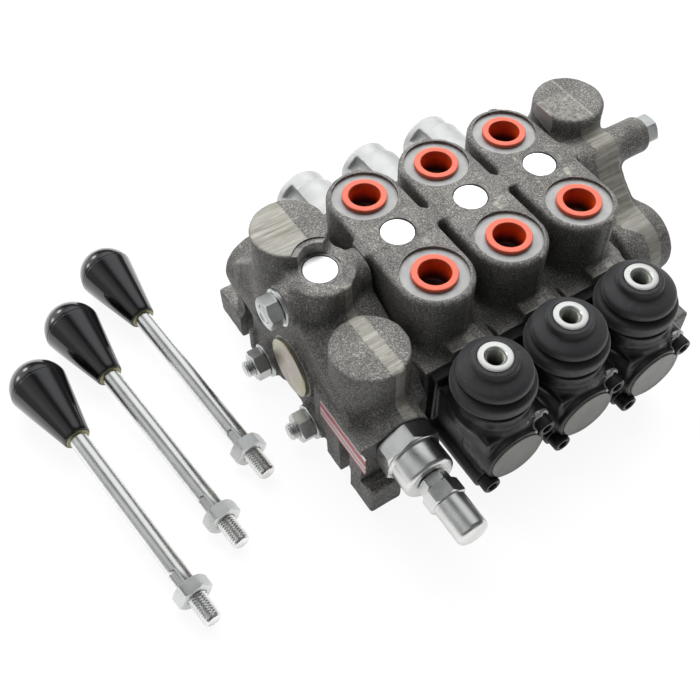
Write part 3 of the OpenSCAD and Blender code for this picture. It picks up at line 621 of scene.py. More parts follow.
def tube_thread(r, pitch, z0, z1, outer, depth=None, seg=72):
    """Rows of a threaded hole wall, from z0 up to z1, as ring tuples."""
    depth = depth or 0.6 * pitch
    n = max(4, int((z1 - z0) / pitch * 9))
    th = 2 * np.pi * np.arange(seg) / seg
    rs = []
    for i in range(n + 1):
        z = z0 + (z1 - z0) * i / n
        ph = np.mod(z / pitch - th / (2 * np.pi), 1.0)
        tri = np.clip((1 - np.abs(2 * ph - 1) - 0.12) / 0.72, 0, 1)
        w = min(1.0, max(0.0, (z1 - z) / (0.7 * pitch)))
        rs.append((r - depth * tri * w, z))
    return rs


def bx(x0, x1, y0, y1, z0, z1):
    V = [(x, y, z) for x in (x0, x1) for y in (y0, y1) for z in (z0, z1)]
    F = [(0, 1, 3, 2), (4, 6, 7, 5), (0, 4, 5, 1), (2, 3, 7, 6), (0, 2, 6, 4), (1, 5, 7, 3)]
    return V, F


def frame_y(x, y, z, sign=-1):
    """Local +Z looks along world sign*Y, local +X along world +X."""
    zc = Vector((0, sign, 0))
    xc = Vector((1, 0, 0))
    yc = zc.cross(xc)
    m = Matrix.Identity(4)
    for i, c in enumerate((xc, yc, zc)):
        for j in range(3):
            m[j][i] = c[j]
    m[0][3], m[1][3], m[2][3] = x, y, z
    return m


def frame_x(x, y, z, sign=1):
    zc = Vector((sign, 0, 0))
    xc = Vector((0, 1, 0))
    yc = zc.cross(xc)
    m = Matrix.Identity(4)
    for i, c in enumerate((xc, yc, zc)):
        for j in range(3):
            m[j][i] = c[j]
    m[0][3], m[1][3], m[2][3] = x, y, z
    return m


def at(x, y, z, rot=0.0):
    return Matrix.Translation((x, y, z)) @ Matrix.Rotation(rot, 4, "Z")


# =====================================================================
# cast bodies: smooth blended fields, then crisp machining cuts
# =====================================================================
class Field:
    def __init__(self, lo, hi, h):
        self.h, self.lo = h, np.array(lo, np.float32)
        n = [int(math.ceil((hi[i] - lo[i]) / h)) + 1 for i in range(3)]
        self.n = n
        self.x = (lo[0] + h * np.arange(n[0], dtype=np.float32))[:, None, None]
        self.y = (lo[1] + h * np.arange(n[1], dtype=np.float32))[None, :, None]
        self.z = (lo[2] + h * np.arange(n[2], dtype=np.float32))[None, None, :]

    def box(self, x0, x1, y0, y1, z0, z1, r=1.0):
        qx = np.abs(self.x - (x0 + x1) / 2) - ((x1 - x0) / 2 - r)
        qy = np.abs(self.y - (y0 + y1) / 2) - ((y1 - y0) / 2 - r)
        qz = np.abs(self.z - (z0 + z1) / 2) - ((z1 - z0) / 2 - r)
        out = np.sqrt(np.maximum(qx, 0) ** 2 + np.maximum(qy, 0) ** 2 + np.maximum(qz, 0) ** 2)
        return out + np.minimum(np.maximum(qx, np.maximum(qy, qz)), 0) - r

    def _rim(self, rad, R, t, a0, a1, r):
        q1 = rad - (R - r)
        q2 = np.abs(t - (a0 + a1) / 2) - ((a1 - a0) / 2 - r)
        return np.sqrt(np.maximum(q1, 0) ** 2 + np.maximum(q2, 0) ** 2) + np.minimum(np.maximum(q1, q2), 0) - r

    def cyl(self, axis, a0, a1, c, R, r=1.0, taper=0.0):
        if axis == "z":
            rad, t = np.sqrt((self.x - c[0]) ** 2 + (self.y - c[1]) ** 2), self.z
        elif axis == "y":
            rad, t = np.sqrt((self.x - c[0]) ** 2 + (self.z - c[1]) ** 2), self.y
        else:
            rad, t = np.sqrt((self.y - c[0]) ** 2 + (self.z - c[1]) ** 2), self.x
        if taper:
            R = R + taper * (a1 - t)
        return self._rim(rad, R, t, a0, a1, r)

    def stad(self, x, y0, y1, R, z0, z1, r=1.0, lift=None, taper=0.0):
        dy = self.y - np.clip(self.y, y0, y1)
        rad = np.sqrt((self.x - x) ** 2 + dy ** 2)
        z = self.z if lift is None else self.z + lift
        if taper:
            R = R + taper * (z1 - z)
        return self._rim(rad, R, z, z0, z1, r)

    def poly(self, pts, x0, x1, r=1.0, axis="x"):
        """Polygon across two axes, extruded along the third, with rounded edges."""
        if axis == "x":
            u, v, t = self.y[0], self.z[0], self.x
        elif axis == "z":
            u, v, t = self.x[:, :, 0], self.y[:, :, 0], self.z
        else:
            u, v, t = self.x[:, 0, :], self.z[:, 0, :] , self.y
        u, v = np.broadcast_arrays(u, v)
        d = np.full(u.shape, 1e9, np.float32)
        s = np.ones(u.shape, np.float32)
        n = len(pts)
        for i in range(n):
            a, b = np.array(pts[i], np.float32), np.array(pts[(i - 1) % n], np.float32)
            e = b - a
            wx, wy = u - a[0], v - a[1]
            k = np.clip((wx * e[0] + wy * e[1]) / float(e @ e), 0, 1)
            d = np.minimum(d, (wx - e[0] * k) ** 2 + (wy - e[1] * k) ** 2)
            c1, c2, c3 = v >= a[1], v < b[1], e[0] * wy > e[1] * wx
            flip = (c1 & c2 & c3) | (~c1 & ~c2 & ~c3)
            s = np.where(flip, -s, s)
        d2 = s * np.sqrt(d) + r
        if axis == "x":
            d2 = d2[None]
        elif axis == "z":
            d2 = d2[:, :, None]
        else:
            d2 = d2[:, None, :]
        q2 = np.abs(t - (x0 + x1) / 2) - ((x1 - x0) / 2 - r)
        return np.sqrt(np.maximum(d2, 0) ** 2 + np.maximum(q2, 0) ** 2) + np.minimum(np.maximum(d2, q2), 0) - r

    def noise(self, scale, seed):
        """Smooth value noise about 0, amplitude about 1, with features of about scale mm."""
        rs = np.random.RandomState(seed)
        n = [int(math.ceil(self.n[i] * self.h / scale)) + 3 for i in range(3)]
        G = rs.uniform(-1, 1, n).astype(np.float32)
        idx = []
        for i in range(3):
            p = np.arange(self.n[i], dtype=np.float32) * self.h / scale
            f = np.floor(p).astype(int)
            t = p - f
            idx.append((f, (t * t * (3 - 2 * t)).astype(np.float32)))
        (fx, tx), (fy, ty), (fz, tz) = idx
        A = G[fx] * (1 - tx)[:, None, None] + G[fx + 1] * tx[:, None, None]
        A = A[:, fy] * (1 - ty)[None, :, None] + A[:, fy + 1] * ty[None, :, None]
        return A[:, :, fz] * (1 - tz) + A[:, :, fz + 1] * tz

    def mesh(self, D):
        import openvdb as vdb
        D = np.clip(D, -3 * self.h, 3 * self.h).astype(np.float32)
        D = np.array(np.broadcast_to(D, tuple(self.n)), dtype=np.float32, order="C", copy=True)
        g = vdb.FloatGrid(background=3 * self.h)
        g.copyFromArray(D)
        P, T, Q = g.convertToPolygons(isovalue=0.0, adaptivity=0.0)
        return np.asarray(P) * self.h + self.lo, T, Q


def smin(a, b, k):
    if k <= 0:
        return np.minimum(a, b)
    h = np.maximum(k - np.abs(a - b), 0) / k
    return np.minimum(a, b) - h * h * k * 0.25


def smax(a, b, k):
    return -smin(-a, -b, k)


def obj_from(name, V, F):
    me = bpy.data.meshes.new(name)
    me.from_pydata((np.asarray(V) * MM).tolist() if not isinstance(V, np.ndarray) else V * MM, [], F)
    me.update()
    o = bpy.data.objects.new(name, me)
    scene.collection.objects.link(o)
    return o


def evaluated(o, name):
    bpy.context.view_layer.update()
    dg = bpy.context.evaluated_depsgraph_get()
    return bpy.data.meshes.new_from_object(o.evaluated_get(dg))


def cast(name, fld, D, cuts, mats, classify, body, rep, flash=None, sharp=48, attrs=None):
    """Field to mesh, machining cuts, face materials and the ground-flash attribute."""
    P, T, Q = fld.mesh(D)
    faces = [tuple(q) for q in np.asarray(Q).tolist()] + [tuple(t) for t in np.asarray(T).tolist()]
    o = obj_from(name, P.astype(np.float64), faces)
    # outward winding
    me = o.data
    v = np.empty(len(me.vertices) * 3); me.vertices.foreach_get("co", v); v = v.reshape(-1, 3)
    me.calc_loop_triangles()
    t = np.empty(len(me.loop_triangles) * 3, np.int32); me.loop_triangles.foreach_get("vertices", t); t = t.reshape(-1, 3)
    vol = np.einsum("ij,ij->i", v[t[:, 0]], np.cross(v[t[:, 1]], v[t[:, 2]])).sum()
    if vol < 0:
        me.flip_normals()
    if cuts:
        tools = []
        for i, vf in enumerate(cuts):
            c = obj_from("cut_%d" % i, np.asarray(vf[0], float), vf[1])
            tools.append(c)
        head = tools[0]
        for c in tools[1:]:
            b = head.modifiers.new("u", "BOOLEAN"); b.operation = "UNION"; b.solver = "MANIFOLD"; b.object = c
        joined = evaluated(head, "tool")
        head.modifiers.clear()
        tool = bpy.data.objects.new("tool", joined)
        scene.collection.objects.link(tool)
        before = len(o.data.polygons)
        b = o.modifiers.new("c", "BOOLEAN"); b.operation = "DIFFERENCE"; b.solver = "MANIFOLD"; b.object = tool
        me2 = evaluated(o, "cut")
        if abs(len(me2.polygons) - before) < 3:
            b.solver = "EXACT"
            me2 = evaluated(o, "cut")
        o.modifiers.clear()
        old = o.data
        o.data = me2
        bpy.data.meshes.remove(old)
        for c in tools + [tool]:
            m_ = c.data
            bpy.data.objects.remove(c)
            bpy.data.meshes.remove(m_)
    me = o.data
    me.name = name
    me.materials.clear()
    for mt in mats:
        me.materials.append(M[mt])
    n = len(me.polygons)
    c = np.empty(n * 3); me.polygons.foreach_get("center", c); c = c.reshape(-1, 3) / MM
    nn = np.empty(n * 3); me.polygons.foreach_get("normal", nn); nn = nn.reshape(-1, 3)
    idx = classify(c, nn).astype(np.int32) if classify else np.zeros(n, np.int32)
    me.polygons.foreach_set("material_index", idx)
    me.polygons.foreach_set("use_smooth", np.ones(n, bool))
    me.update()
    me.set_sharp_from_angle(angle=math.radians(sharp))
    if flash is not None:
        v = np.empty(len(me.vertices) * 3); me.vertices.foreach_get("co", v); v = v.reshape(-1, 3) / MM
        a = me.attributes.new("flash", "FLOAT", "POINT")
        a.data.foreach_set("value", flash(v[:, 0], v[:, 1], v[:, 2]).astype(np.float32))
    return place(o, body, rep)


def cyl_cut(axis, a0, a1, c, r, seg=72):
    V, F = lathe([(0, a0), (r, a0), (r, a1), (0, a1)], seg)
    V = np.array(V, float)
    if axis == "z":
        V = V + np.array([c[0], c[1], 0])
    elif axis == "y":
        V = np.stack([V[:, 0] + c[0], V[:, 2], V[:, 1] + c[1]], 1)
        F = [tuple(reversed(f)) for f in F]
    else:
        V = np.stack([V[:, 2], V[:, 0] + c[0], V[:, 1] + c[1]], 1)
    return V, F


def box_cut(*a):
    V, F = bx(*a)
    return np.array(V, float), F


def near(v, a, t=0.03):
    return np.abs(v - a) < t


H = 0.8
BOSS_H, BOSS_R, SPOT_R, PA, PB = 97.0, 20.5, 17.6, 30.9, -32.7
ROD_TOP, ROD_LOW = (-1.0, 84.5), [(23.5, 11.5), (-25.5, 11.5)]
BOX_Q = ((-15.0, 18.8), (16.3, 45.3))
DISC_X, DISC_Z = -0.6, 33.8


def band(v, a, b, s=0.5):
    return np.clip((v - a) / s + 0.5, 0, 1) * np.clip((b - v) / s + 0.5, 0, 1)


# ---------------------------------------------------------------- work sections
def build_section(i):
    sx = SX[i]
    f = Field((sx - 25, -63, -1), (sx + 25, 63, 99.5), H)
    x = f.x - sx
    step = 0.30 / (1 + np.exp(np.clip((x + 8.2) / 0.35, -30, 30)))          # the half of the mould left of the line sits a little lower
    body = f.poly([(-56, 7), (-56, 54), (-50, 60), (-8, 64), (-5, 70), (-4, 96), (6, 96), (8, 70), (12, 64), (50, 60), (57, 54), (57, 7), (36, 2), (-38, 2)], sx - 24, sx + 24, 1.2)
    D = f.stad(sx, PB, PA, BOSS_R, 45, BOSS_H, 2.6, lift=step)
    D = smin(D, body, 5.0)
    D = smin(D, f.box(sx - 22.2, sx + 22.2, -61, -50, 12, 60, 1.2), 2.0)
    D = smin(D, f.box(sx - 22.2, sx + 22.2, 50, 61, 14, 63, 1.2), 2.0)
    D = smin(D, f.box(sx - 6, sx + 15, -60.5, -50, 55, 66, 0.9), 2.5)
    # parting line rib down the front and back of the boss
    rib = f.stad(sx, PB, PA, BOSS_R + 0.55, 50, BOSS_H - 0.2, 1.6)
    rib = smax(rib, np.abs(x - 6.6) - 2.3, 0.4)
    D = np.minimum(D, rib)
    D = D + 0.11 * f.noise(2.6, 11 + i) + 0.10 * f.noise(7.0, 31 + i)
    cuts = [box_cut(sx + 23, sx + 30, -80, 80, -10, 110), box_cut(sx - 30, sx - 23, -80, 80, -10, 110),
            box_cut(sx - 40, sx + 40, -80, -60, -10, 110), box_cut(sx - 40, sx + 40, 60, 80, -10, 110)]
    for y in (PA, PB):
        cuts += [cyl_cut("z", BOSS_H - 1.8, BOSS_H + 5, (sx, y), SPOT_R, 120), cyl_cut("z", BOSS_H - 19, BOSS_H, (sx, y), 10.48), cyl_cut("z", 40, BOSS_H - 18, (sx, y), 5.5, 40)]
    cuts += [cyl_cut("z", BOSS_H - 5, BOSS_H + 3, (sx, 0), 9.35, 96), cyl_cut("y", -70, 70, (sx, 40), 9.0)]
    cuts += [cyl_cut("x", sx - 30, sx + 30, ROD_TOP, 5.3, 40)] + [cyl_cut("x", sx - 30, sx + 30, c, 5.3, 40) for c in ROD_LOW]
    cuts += [cyl_cut("x", sx - 30, sx + 30, (0, 62), 5.5, 40)] + [cyl_cut("x", sx - 30, sx + 30, (s * 46, 40), 5.51, 40) for s in (-1, 1)]
    cuts += [cyl_cut("x", sx + 8, sx + 30, (18, 62), 8.5, 48)]
    for q in BOX_Q:
        cuts.append(cyl_cut("y", -70, -51.5, (sx + q[0], q[1]), 3.05, 32))
    for q in ((-13, 53), (13, 27)):
        cuts.append(cyl_cut("y", 50.5, 70, (sx + q[0], q[1]), 3.05, 32))

    def cls(c, n):
        out = np.zeros(len(c), int)
        spot = near(c[:, 2], BOSS_H - 1.8) & (np.abs(n[:, 2]) > 0.99)
        flat = near(np.abs(c[:, 1]), 60) & (np.abs(n[:, 1]) > 0.99) | near(np.abs(c[:, 0] - sx), 23) & (np.abs(n[:, 0]) > 0.99)
        out[spot | flat] = 1
        for y in (PA, PB):
            rr = np.hypot(c[:, 0] - sx, c[:, 1] - y)
            out[(rr < 10.6) & (c[:, 2] > 30) & (c[:, 2] < 95.1)] = 2
        out[(np.hypot(c[:, 0] - sx, c[:, 1]) < 9.5) & (c[:, 2] > 90)] = 2
        out[(np.hypot(c[:, 0] - sx, c[:, 2] - 40) < 9.2)] = 2
        return out

    def flash(X, Y, Z):
        x = X - sx
        front = band(x, 5.2, 8.0, 1.2) * (Y < -46) * (Z > 66) * (Z < 95.6) * 0.46
        back = band(x, 4.1, 9.1, 0.8) * (Y > 46) * (Z > 62) * (Z < 95.6)
        ledge = (Y < -58.6) * (Z > 63.8) * (Z < 67) * band(x, -6.5, 15.5, 0.6) * 0.80 + (Y < -55.5) * (Z > 64.5) * (Z < 68) * band(x, 4.4, 9.4, 1.0) * 0.6
        top = (Z > 96.2) * (0.40 * band(x, 8.0, 15.5, 3.0) * band(Y, -18, 16, 8) + 0.44 * band(x, -9.6, -7.4, 0.8) * band(Y, -18, 14, 4) + 0.36 * band(x, 2.0, 9.5, 2.0) * (band(Y, -60, -44, 4) + band(Y, -15.5, -9.5, 2)))
        return np.clip(front + back + ledge + top, 0, 1)

    return cast("work_section_casting_%d" % (i + 1), f, D, cuts, ["casting", "machined", "bore"], cls, STACK, ["work_section_%d" % (i + 1)], flash)


# ---------------------------------------------------------------- inlet
INLET_PROFILE = [(-62, 12), (-64, 20), (-64, 46), (-52, 58), (-24, 74), (-12, 80), (12, 80), (40, 76), (56, 62), (63, 48), (64, 20), (60, 12), (40, 4), (34, 1), (13, 1), (6, 6), (-8, 6), (-15, 1), (-36, 1), (-42, 4)]


def foot_cuts(x_open, xc, y):
    a, b = (x_open - 3, xc) if x_open < xc else (xc, x_open + 3)
    return [cyl_cut("z", -3, 40, (xc, y), 5.25, 40), box_cut(a, b, y - 5.2, y + 5.2, -3, 40.01)]


def build_inlet():
    x1, x0 = -116.0, -69.0
    f = Field((x1 - 3, -88, -1), (x0 + 2, 83, 108), H)
    D = f.poly(INLET_PROFILE, x1 + 3, x0 + 1, 2.0)
    for c in ROD_LOW:
        D = smin(D, f.cyl("x", x1 - 0.5, x0 - 10, (c[0], c[1] + 0.2), 10.8, 1.4), 3.0)
    D = smin(D, f.cyl("x", x1 - 0.5, x1 + 12, (-8, 42), 18.5, 1.2), 3.0)
    D = smin(D, f.cyl("x", x1 - 0.5, x0 + 1, ROD_TOP, 11.2, 1.6), 4.0)
    D = smin(D, f.cyl("z", 60, BOSS_H - 0.5, (-92, 0), 18, 1.8), 4.0)
    D = smin(D, f.cyl("z", 50, 105, (-94.5, 26), 20, 1.3, taper=0.01), 4.0)
    D = smin(D, f.cyl("z", 40, 83, (-92, -45), 20.2, 1.2, taper=0.01), 4.0)
    D = smin(D, f.cyl("y", 30, 67.5, (-95.5, 45), 20.6, 2.5), 5.0)
    D = smin(D, f.cyl("y", -75.5, -30, (-92, 38), 17.5, 2.0), 5.0)
    D = smin(D, f.box(x1 - 0.5, -98, -79, -30, 20, 50, 1.2), 2.5)
    D = smin(D, f.box(x1, -97, -84.5, -40, 0, 20, 1.5), 3.0)
    D = smin(D, f.box(x1 - 0.8, -97, 40, 80, 0, 18, 1.5), 3.0)
    D = smin(D, f.box(-97, x0 + 1, -62, -50, 3, 20, 1.5), 3.0)
    D = smin(D, f.box(-97, x0 + 1, 46, 62, 3, 20, 1.5), 3.0)
    # parting line rib at x -86
    for d in (f.cyl("z", 50, 82.8, (-92, -45), 20.75, 1.0), f.cyl("z", 62, BOSS_H - 0.8, (-92, 0), 18.5, 1.0)):
        D = np.minimum(D, smax(d, np.abs(f.x + 86.2) - 2.4, 0.4))
    D = D + 0.12 * f.noise(2.6, 51) + 0.12 * f.noise(7.0, 52)
    cuts = [box_cut(x0, x0 + 9, -95, 95, -10, 115), box_cut(x1 - 9, x1, -29.8, 100, 19.9, 115), box_cut(x1 - 9, x1 - 0.01, -29.9, 36, -10, 30)]
    cuts += [box_cut(-130, -60, -95, 95, -10, 0), box_cut(-130, -60, 67, 70, 20.5, 80), box_cut(-130, -60, -90, -75, 21, 70)]
    cuts += foot_cuts(x1, -107, -59.5) + foot_cuts(x1, -107, 48.5)
    cuts += [cyl_cut("z", BOSS_H - 5.5, BOSS_H + 5, (-92, 0), 9.35, 96), cyl_cut("z", BOSS_H - 0.42, 115, (-92, 0), 10.9, 96), cyl_cut("z", 104.15, 114, (-92, 0), 14.0, 96), cyl_cut("y", -81, -75, (-92, 38), 17.7, 96), cyl_cut("y", 49, 75, (-95.5, 45), 10.48), cyl_cut("y", 66, 75, (-95.5, 45), 16.6, 96),
             cyl_cut("y", 0, 50, (-95.5, 45), 6, 40), cyl_cut("y", -80, -34, (-92, 38), 13.1, 96), cyl_cut("y", -36, 1, (-92, 38), 4.6, 32),
             cyl_cut("x", -125, -106.4, (-8, 42), 13.1), cyl_cut("x", -96, -60, (0, 62), 5.5, 40)]
    cuts += [cyl_cut("x", -78, -60, (s * 46, 40), 5.5, 40) for s in (-1, 1)]
    cuts += [cyl_cut("x", -130, -60, ROD_TOP, 5.3, 40)] + [cyl_cut("x", -130, -60, c, 5.3, 40) for c in ROD_LOW]
    cuts += [box_cut(x1 - 5, x1 + 0.2, -79.5, -36.5, 32.6, 47.4)]

    def cls(c, n):
        out = np.zeros(len(c), int)
        out[(np.hypot(c[:, 0] + 92, c[:, 1]) < 9.5) & (c[:, 2] > 90)] = 2
        out[near(c[:, 0], x0) & (n[:, 0] > 0.99)] = 1
        out[near(c[:, 1], 66) & (n[:, 1] > 0.99) & (np.hypot(c[:, 0] + 95.5, c[:, 2] - 45) < 16.7)] = 1
        out[(np.hypot(c[:, 0] + 95.5, c[:, 2] - 45) < 10.6) & (c[:, 1] > 48.5)] = 2
        out[(np.hypot(c[:, 0] + 92, c[:, 2] - 38) < 13.2) & (c[:, 1] < -34)] = 2
        for q in [(-8, 42, 18.6)] + [(a, b + 0.2, 10.9) for a, b in ROD_LOW] + [(ROD_TOP[0], ROD_TOP[1], 11.3)]:
            out[near(c[:, 0], x1, 0.06) & (n[:, 0] < -0.99) & (np.hypot(c[:, 1] - q[0], c[:, 2] - q[1]) < q[2])] = 1
        return out

    def flash(X, Y, Z):
        r1 = (Z > 104.2) * np.clip((-90.6 - X) / 0.8 + 0.5, 0, 1) * 0.95
        r2 = (Z > 82.2) * (Z < 84.5) * (Y < -20) * band(X, -92.6, -83.4, 1.8) * 0.62
        r3 = band(X, -90.2, -83.6, 1.0) * (Y < -60) * (Z > 50) * (Z <= 82.3) * 0.85
        r4 = band(X, -88.8, -83.2, 0.8) * (Y < -15) * (Y > -26) * (Z > 66) * (Z < 97) * 0.9
        r5 = band(X, -89.5, -82.8, 1.2) * (Y < -58) * (Y > -76) * (Z > 48) * (Z < 60)
        r6 = (Z > 95.6) * (Z < 97.5) * band(X, -82, -75, 3) * (np.abs(Y) < 14) * 0.42
        r7 = band(X, -90, -84, 1.5) * (Y > 50) * (Z > 60) * 0.8
        r8 = band(Y, 50, 58, 2.5) * (X < -109) * (Z > 34) * (Z < 66) * 0.46
        return np.clip(r1 + r2 + r3 + r4 + r5 + r6 + r7 + r8, 0, 1)

    return cast("inlet_section_casting", f, D, cuts, ["casting", "machined", "bore"], cls, STACK, ["inlet_section"], flash)


# ---------------------------------------------------------------- outlet
OUT_PROFILE = [(-60, 14), (-60, 31), (-57, 37), (-42, 57), (-24, 73), (-12, 85), (-4, 91), (12, 92), (40, 88), (54, 70), (61, 48), (61, 14), (40, 4), (34, 1), (13, 1), (6, 6), (-8, 6), (-15, 1), (-36, 1), (-42, 4)]
OUT_SMALL = [(-55, 14), (-55, 31), (-50, 38), (-38, 52), (-20, 67), (-9, 78), (12, 84), (38, 80), (50, 66), (56, 48), (56, 14), (40, 6), (13, 6), (-36, 6)]


def build_outlet():
    x0, x1 = 69.0, 102.0
    f = Field((x0 - 2, -88, -1), (122, 83, 108), H)
    D = f.poly(OUT_PROFILE, x0 - 1, 95, 1.6)
    D = smin(D, f.poly(OUT_SMALL, 90, x1, 3.0), 3.0)
    D = smin(D, f.cyl("x", x0 - 1, 119.5, ROD_TOP, 10.5, 2.2), 5.0)
    for c in ROD_LOW:
        D = smin(D, f.cyl("x", x0 + 6, x1 + 0.5, (c[0], c[1] + 0.2), 10.8, 1.4), 3.0)
    D = smin(D, f.cyl("z", 50, 105, (87, 26.5), 19.8, 2.6), 5.0)
    D = smin(D, f.cyl("x", x0 + 4, x1 + 3.5, (-37.5, 42), 21.5, 3.0), 5.0)
    D = smin(D, f.box(84, x1 + 0.5, -84.5, -40, 0, 20, 1.5), 3.0)
    D = smin(D, f.box(84, x1 + 0.5, 40, 80, 0, 18, 1.5), 3.0)
    D = D + 0.12 * f.noise(2.6, 71) + 0.12 * f.noise(7.0, 72)
    cuts = [box_cut(x0 - 9, x0, -95, 95, -10, 115), box_cut(119, 130, -30, 30, 60, 115), box_cut(x1 + 3, 130, -70, -5, 21, 70), box_cut(60, 130, -95, 95, -10, 0)]
    cuts += foot_cuts(x1, 93.5, -68) + foot_cuts(x1, 93.5, 66)
    cuts += [cyl_cut("x", x1 - 14, 130, (-37.5, 42), 10.48), cyl_cut("x", x1 + 2, 130, (-37.5, 42), 16.6, 96), cyl_cut("x", 79, x1 - 13, (-37.5, 42), 6, 40),
             cyl_cut("x", x0 - 5, 78, (0, 62), 5.5, 40), cyl_cut("y", -51, 51, (80, 40), 6, 40)]
    cuts += [cyl_cut("x", x0 - 5, 80, (s * 46, 40), 5.5, 40) for s in (-1, 1)]
    cuts += [cyl_cut("x", x0 - 5, 130, ROD_TOP, 5.3, 40)] + [cyl_cut("x", x0 - 5, 130, c, 5.3, 40) for c in ROD_LOW]

    def cls(c, n):
        out = np.zeros(len(c), int)
        out[near(c[:, 0], x0) & (n[:, 0] < -0.99) & (c[:, 2] < 66)] = 1
        out[near(c[:, 0], x0) & (n[:, 0] < -0.99) & (c[:, 2] >= 66)] = 2
        out[near(c[:, 0], 119) & (n[:, 0] > 0.99)] = 1
        out[near(c[:, 0], x1 + 2) & (n[:, 0] > 0.99)] = 1
        out[(np.hypot(c[:, 1] + 37.5, c[:, 2] - 42) < 10.6) & (c[:, 0] > 87)] = 2
        return out

    def flash(X, Y, Z):
        xl = 88.2 - 9.0 * band(Y, -44, -5, 9)
        xr = 96.2 - 0.6 * band(Y, -30, 10, 8)
        r1 = np.clip((X - xl) / 1.0 + 0.5, 0, 1) * np.clip((xr - X) / 0.8 + 0.5, 0, 1) * (Y < 9) * (Z > 33) * (Z < 99)
        r2 = (Z > 104.2) * (0.44 * np.clip((89.2 - X) / 0.5, 0, 1) * (Y < 34) + band(X, 88.7, 89.7, 0.5) * 0.9)
        r3 = band(X, 81, 94, 3) * (Y > -6) * (Y < 12) * (Z > 82) * (Z < 99) * 0.75
        r4 = band(X, 87, 94, 1.5) * (Y > 47) * (Z > 20) * 0.8
        return np.clip(np.maximum(r1, r3) + r2 + r4, 0, 1)

    return cast("outlet_section_casting", f, D, cuts, ["casting", "machined", "bore"], cls, STACK, ["outlet_section"], flash)


# ---------------------------------------------------------------- lever boxes
def build_box(i):
    sx = SX[i]
    h = 0.62
    f = Field((sx - 23, -113, 10), (sx + 24, -58, 65), h)
    D = f.box(sx - 17.5, sx + 17.5, -107, -58, 14, 52, 2.0)
    D = smin(D, f.box(sx - 20, sx + 20, -66, -58, 13, 58, 1.2), 1.5)
    D = smin(D, f.cyl("y", -111, -90, (sx + DISC_X, DISC_Z), 17.4, 0.9), 2.5)
    D = smin(D, f.cyl("y", -107, -58, (sx + BOX_Q[0][0], BOX_Q[0][1]), 6.4, 0.7), 1.2)
    D = smin(D, f.cyl("y", -105.5, -58, (sx + BOX_Q[1][0], BOX_Q[1][1]), 6.4, 0.7), 1.2)
    D = smin(D, f.cyl("z", 40, 62.5, (sx, -86.5), 19.6, 1.2), 3.5)
    D = smin(D, f.cyl("z", 49, 55, (sx, -86.5), 20.6, 2.4), 2.0)
    D = D + 0.05 * f.noise(2.2, 91 + i) + 0.07 * f.noise(6.0, 95 + i)
    cuts = [box_cut(sx - 12, sx + 12, -103.5, -50, 29, 49.5), cyl_cut("z", 45, 70, (sx, -85.5), 13.8), cyl_cut("y", -120, -106, (sx + DISC_X, DISC_Z), 15.6, 120),
            box_cut(sx - 40, sx + 40, -60.02, -50, 0, 80), cyl_cut("x", sx - 18.5, sx + 18.5, (-83.5, 58), 3.02, 32),
            cyl_cut("y", -120, -106.98, (sx + BOX_Q[0][0], BOX_Q[0][1]), 5.4, 48), cyl_cut("y", -119, -105.5, (sx + BOX_Q[1][0], BOX_Q[1][1]), 5.4, 48),
            cyl_cut("y", -112, -50, (sx + BOX_Q[0][0], BOX_Q[0][1]), 3.3, 32), cyl_cut("y", -111.5, -50, (sx + BOX_Q[1][0], BOX_Q[1][1]), 3.3, 32)]

    def flash(X, Y, Z):
        x = X - sx
        ear = (np.hypot(x - BOX_Q[1][0], Z - BOX_Q[1][1]) < 7.4) * (Y < -103.9) * (Z > 46.0) * 0.9
        rub = 0.42 * np.exp(-((Z - 52.5) / 2.0) ** 2) * band(x, -3, 14, 4) * band(Y, -108.5, -100, 2)
        return np.clip(ear + rub, 0, 1)

    return cast("lever_box_shell_%d" % (i + 1), f, D, cuts, ["box"], None, STACK, ["lever_box_%d" % (i + 1)], flash, sharp=44)


# ---------------------------------------------------------------- spring caps
def build_cap(i):
    sx = SX[i]
    h = 0.62
    f = Field((sx - 21, 58, 19), (sx + 21, 106, 61), h)
    D = f.cyl("y", 57, 92.2, (sx, 40), 18.6, 1.2)
    D = smin(D, f.cyl("y", 80, 103.2, (sx, 40), 16.6, 1.4), 0.8)
    for q in ((-13, 53), (13, 27)):
        D = smin(D, f.cyl("y", 57, 72, (sx + q[0], q[1]), 6.4, 1.0), 2.0)
        D = smax(D, -f.cyl("y", 70, 98, (sx + q[0], q[1]), 5.7, 1.0), 0.7)
    D = D + 0.02 * f.noise(5.0, 111 + i)
    cuts = [box_cut(sx - 40, sx + 40, 50, 60.02, 0, 80), cyl_cut("y", 50, 92, (sx, 40), 12), cyl_cut("y", 91, 100, (sx, 40), 9.5)]
    for q in ((-13, 53), (13, 27)):
        cuts.append(cyl_cut("y", 50, 80, (sx + q[0], q[1]), 3.3, 40))
    return cast("spring_cap_shell_%d" % (i + 1), f, D, cuts, ["cap"], None, STACK, ["spring_cap_%d" % (i + 1)], None, sharp=44)


for i in range(3):
    build_section(i)
build_inlet()
build_outlet()
for i in range(3):
    build_box(i)
    build_cap(i)

# =====================================================================
# plugs
# =====================================================================
g = Geo()
for sx in SX:
    for y in (PA, PB):
        z = BOSS_H
        prof = [(0, z - 15), (9.9, z - 15), (10.38, z - 14.2), (10.38, z - 1.78), (12.0, z - 1.78), (12.0, z + 0.66), (8.5, z + 0.66), (8.45, z - 2.6), (8.15, z - 4.2), (7.7, z - 13.4), (0, z - 13.6)]
        prof = rnd(prof, [0, 0.5, 0.3, 0.1, 0.25, 0.8, 0.5, 0.4, 0.4, 1.2, 0], 5)
        g.add(lathe(prof, SEG), at(sx, y, 0))
g.obj("port_transport_plugs", ["plug"], STACK, "plug_orange", ["port_plugs"], 45)

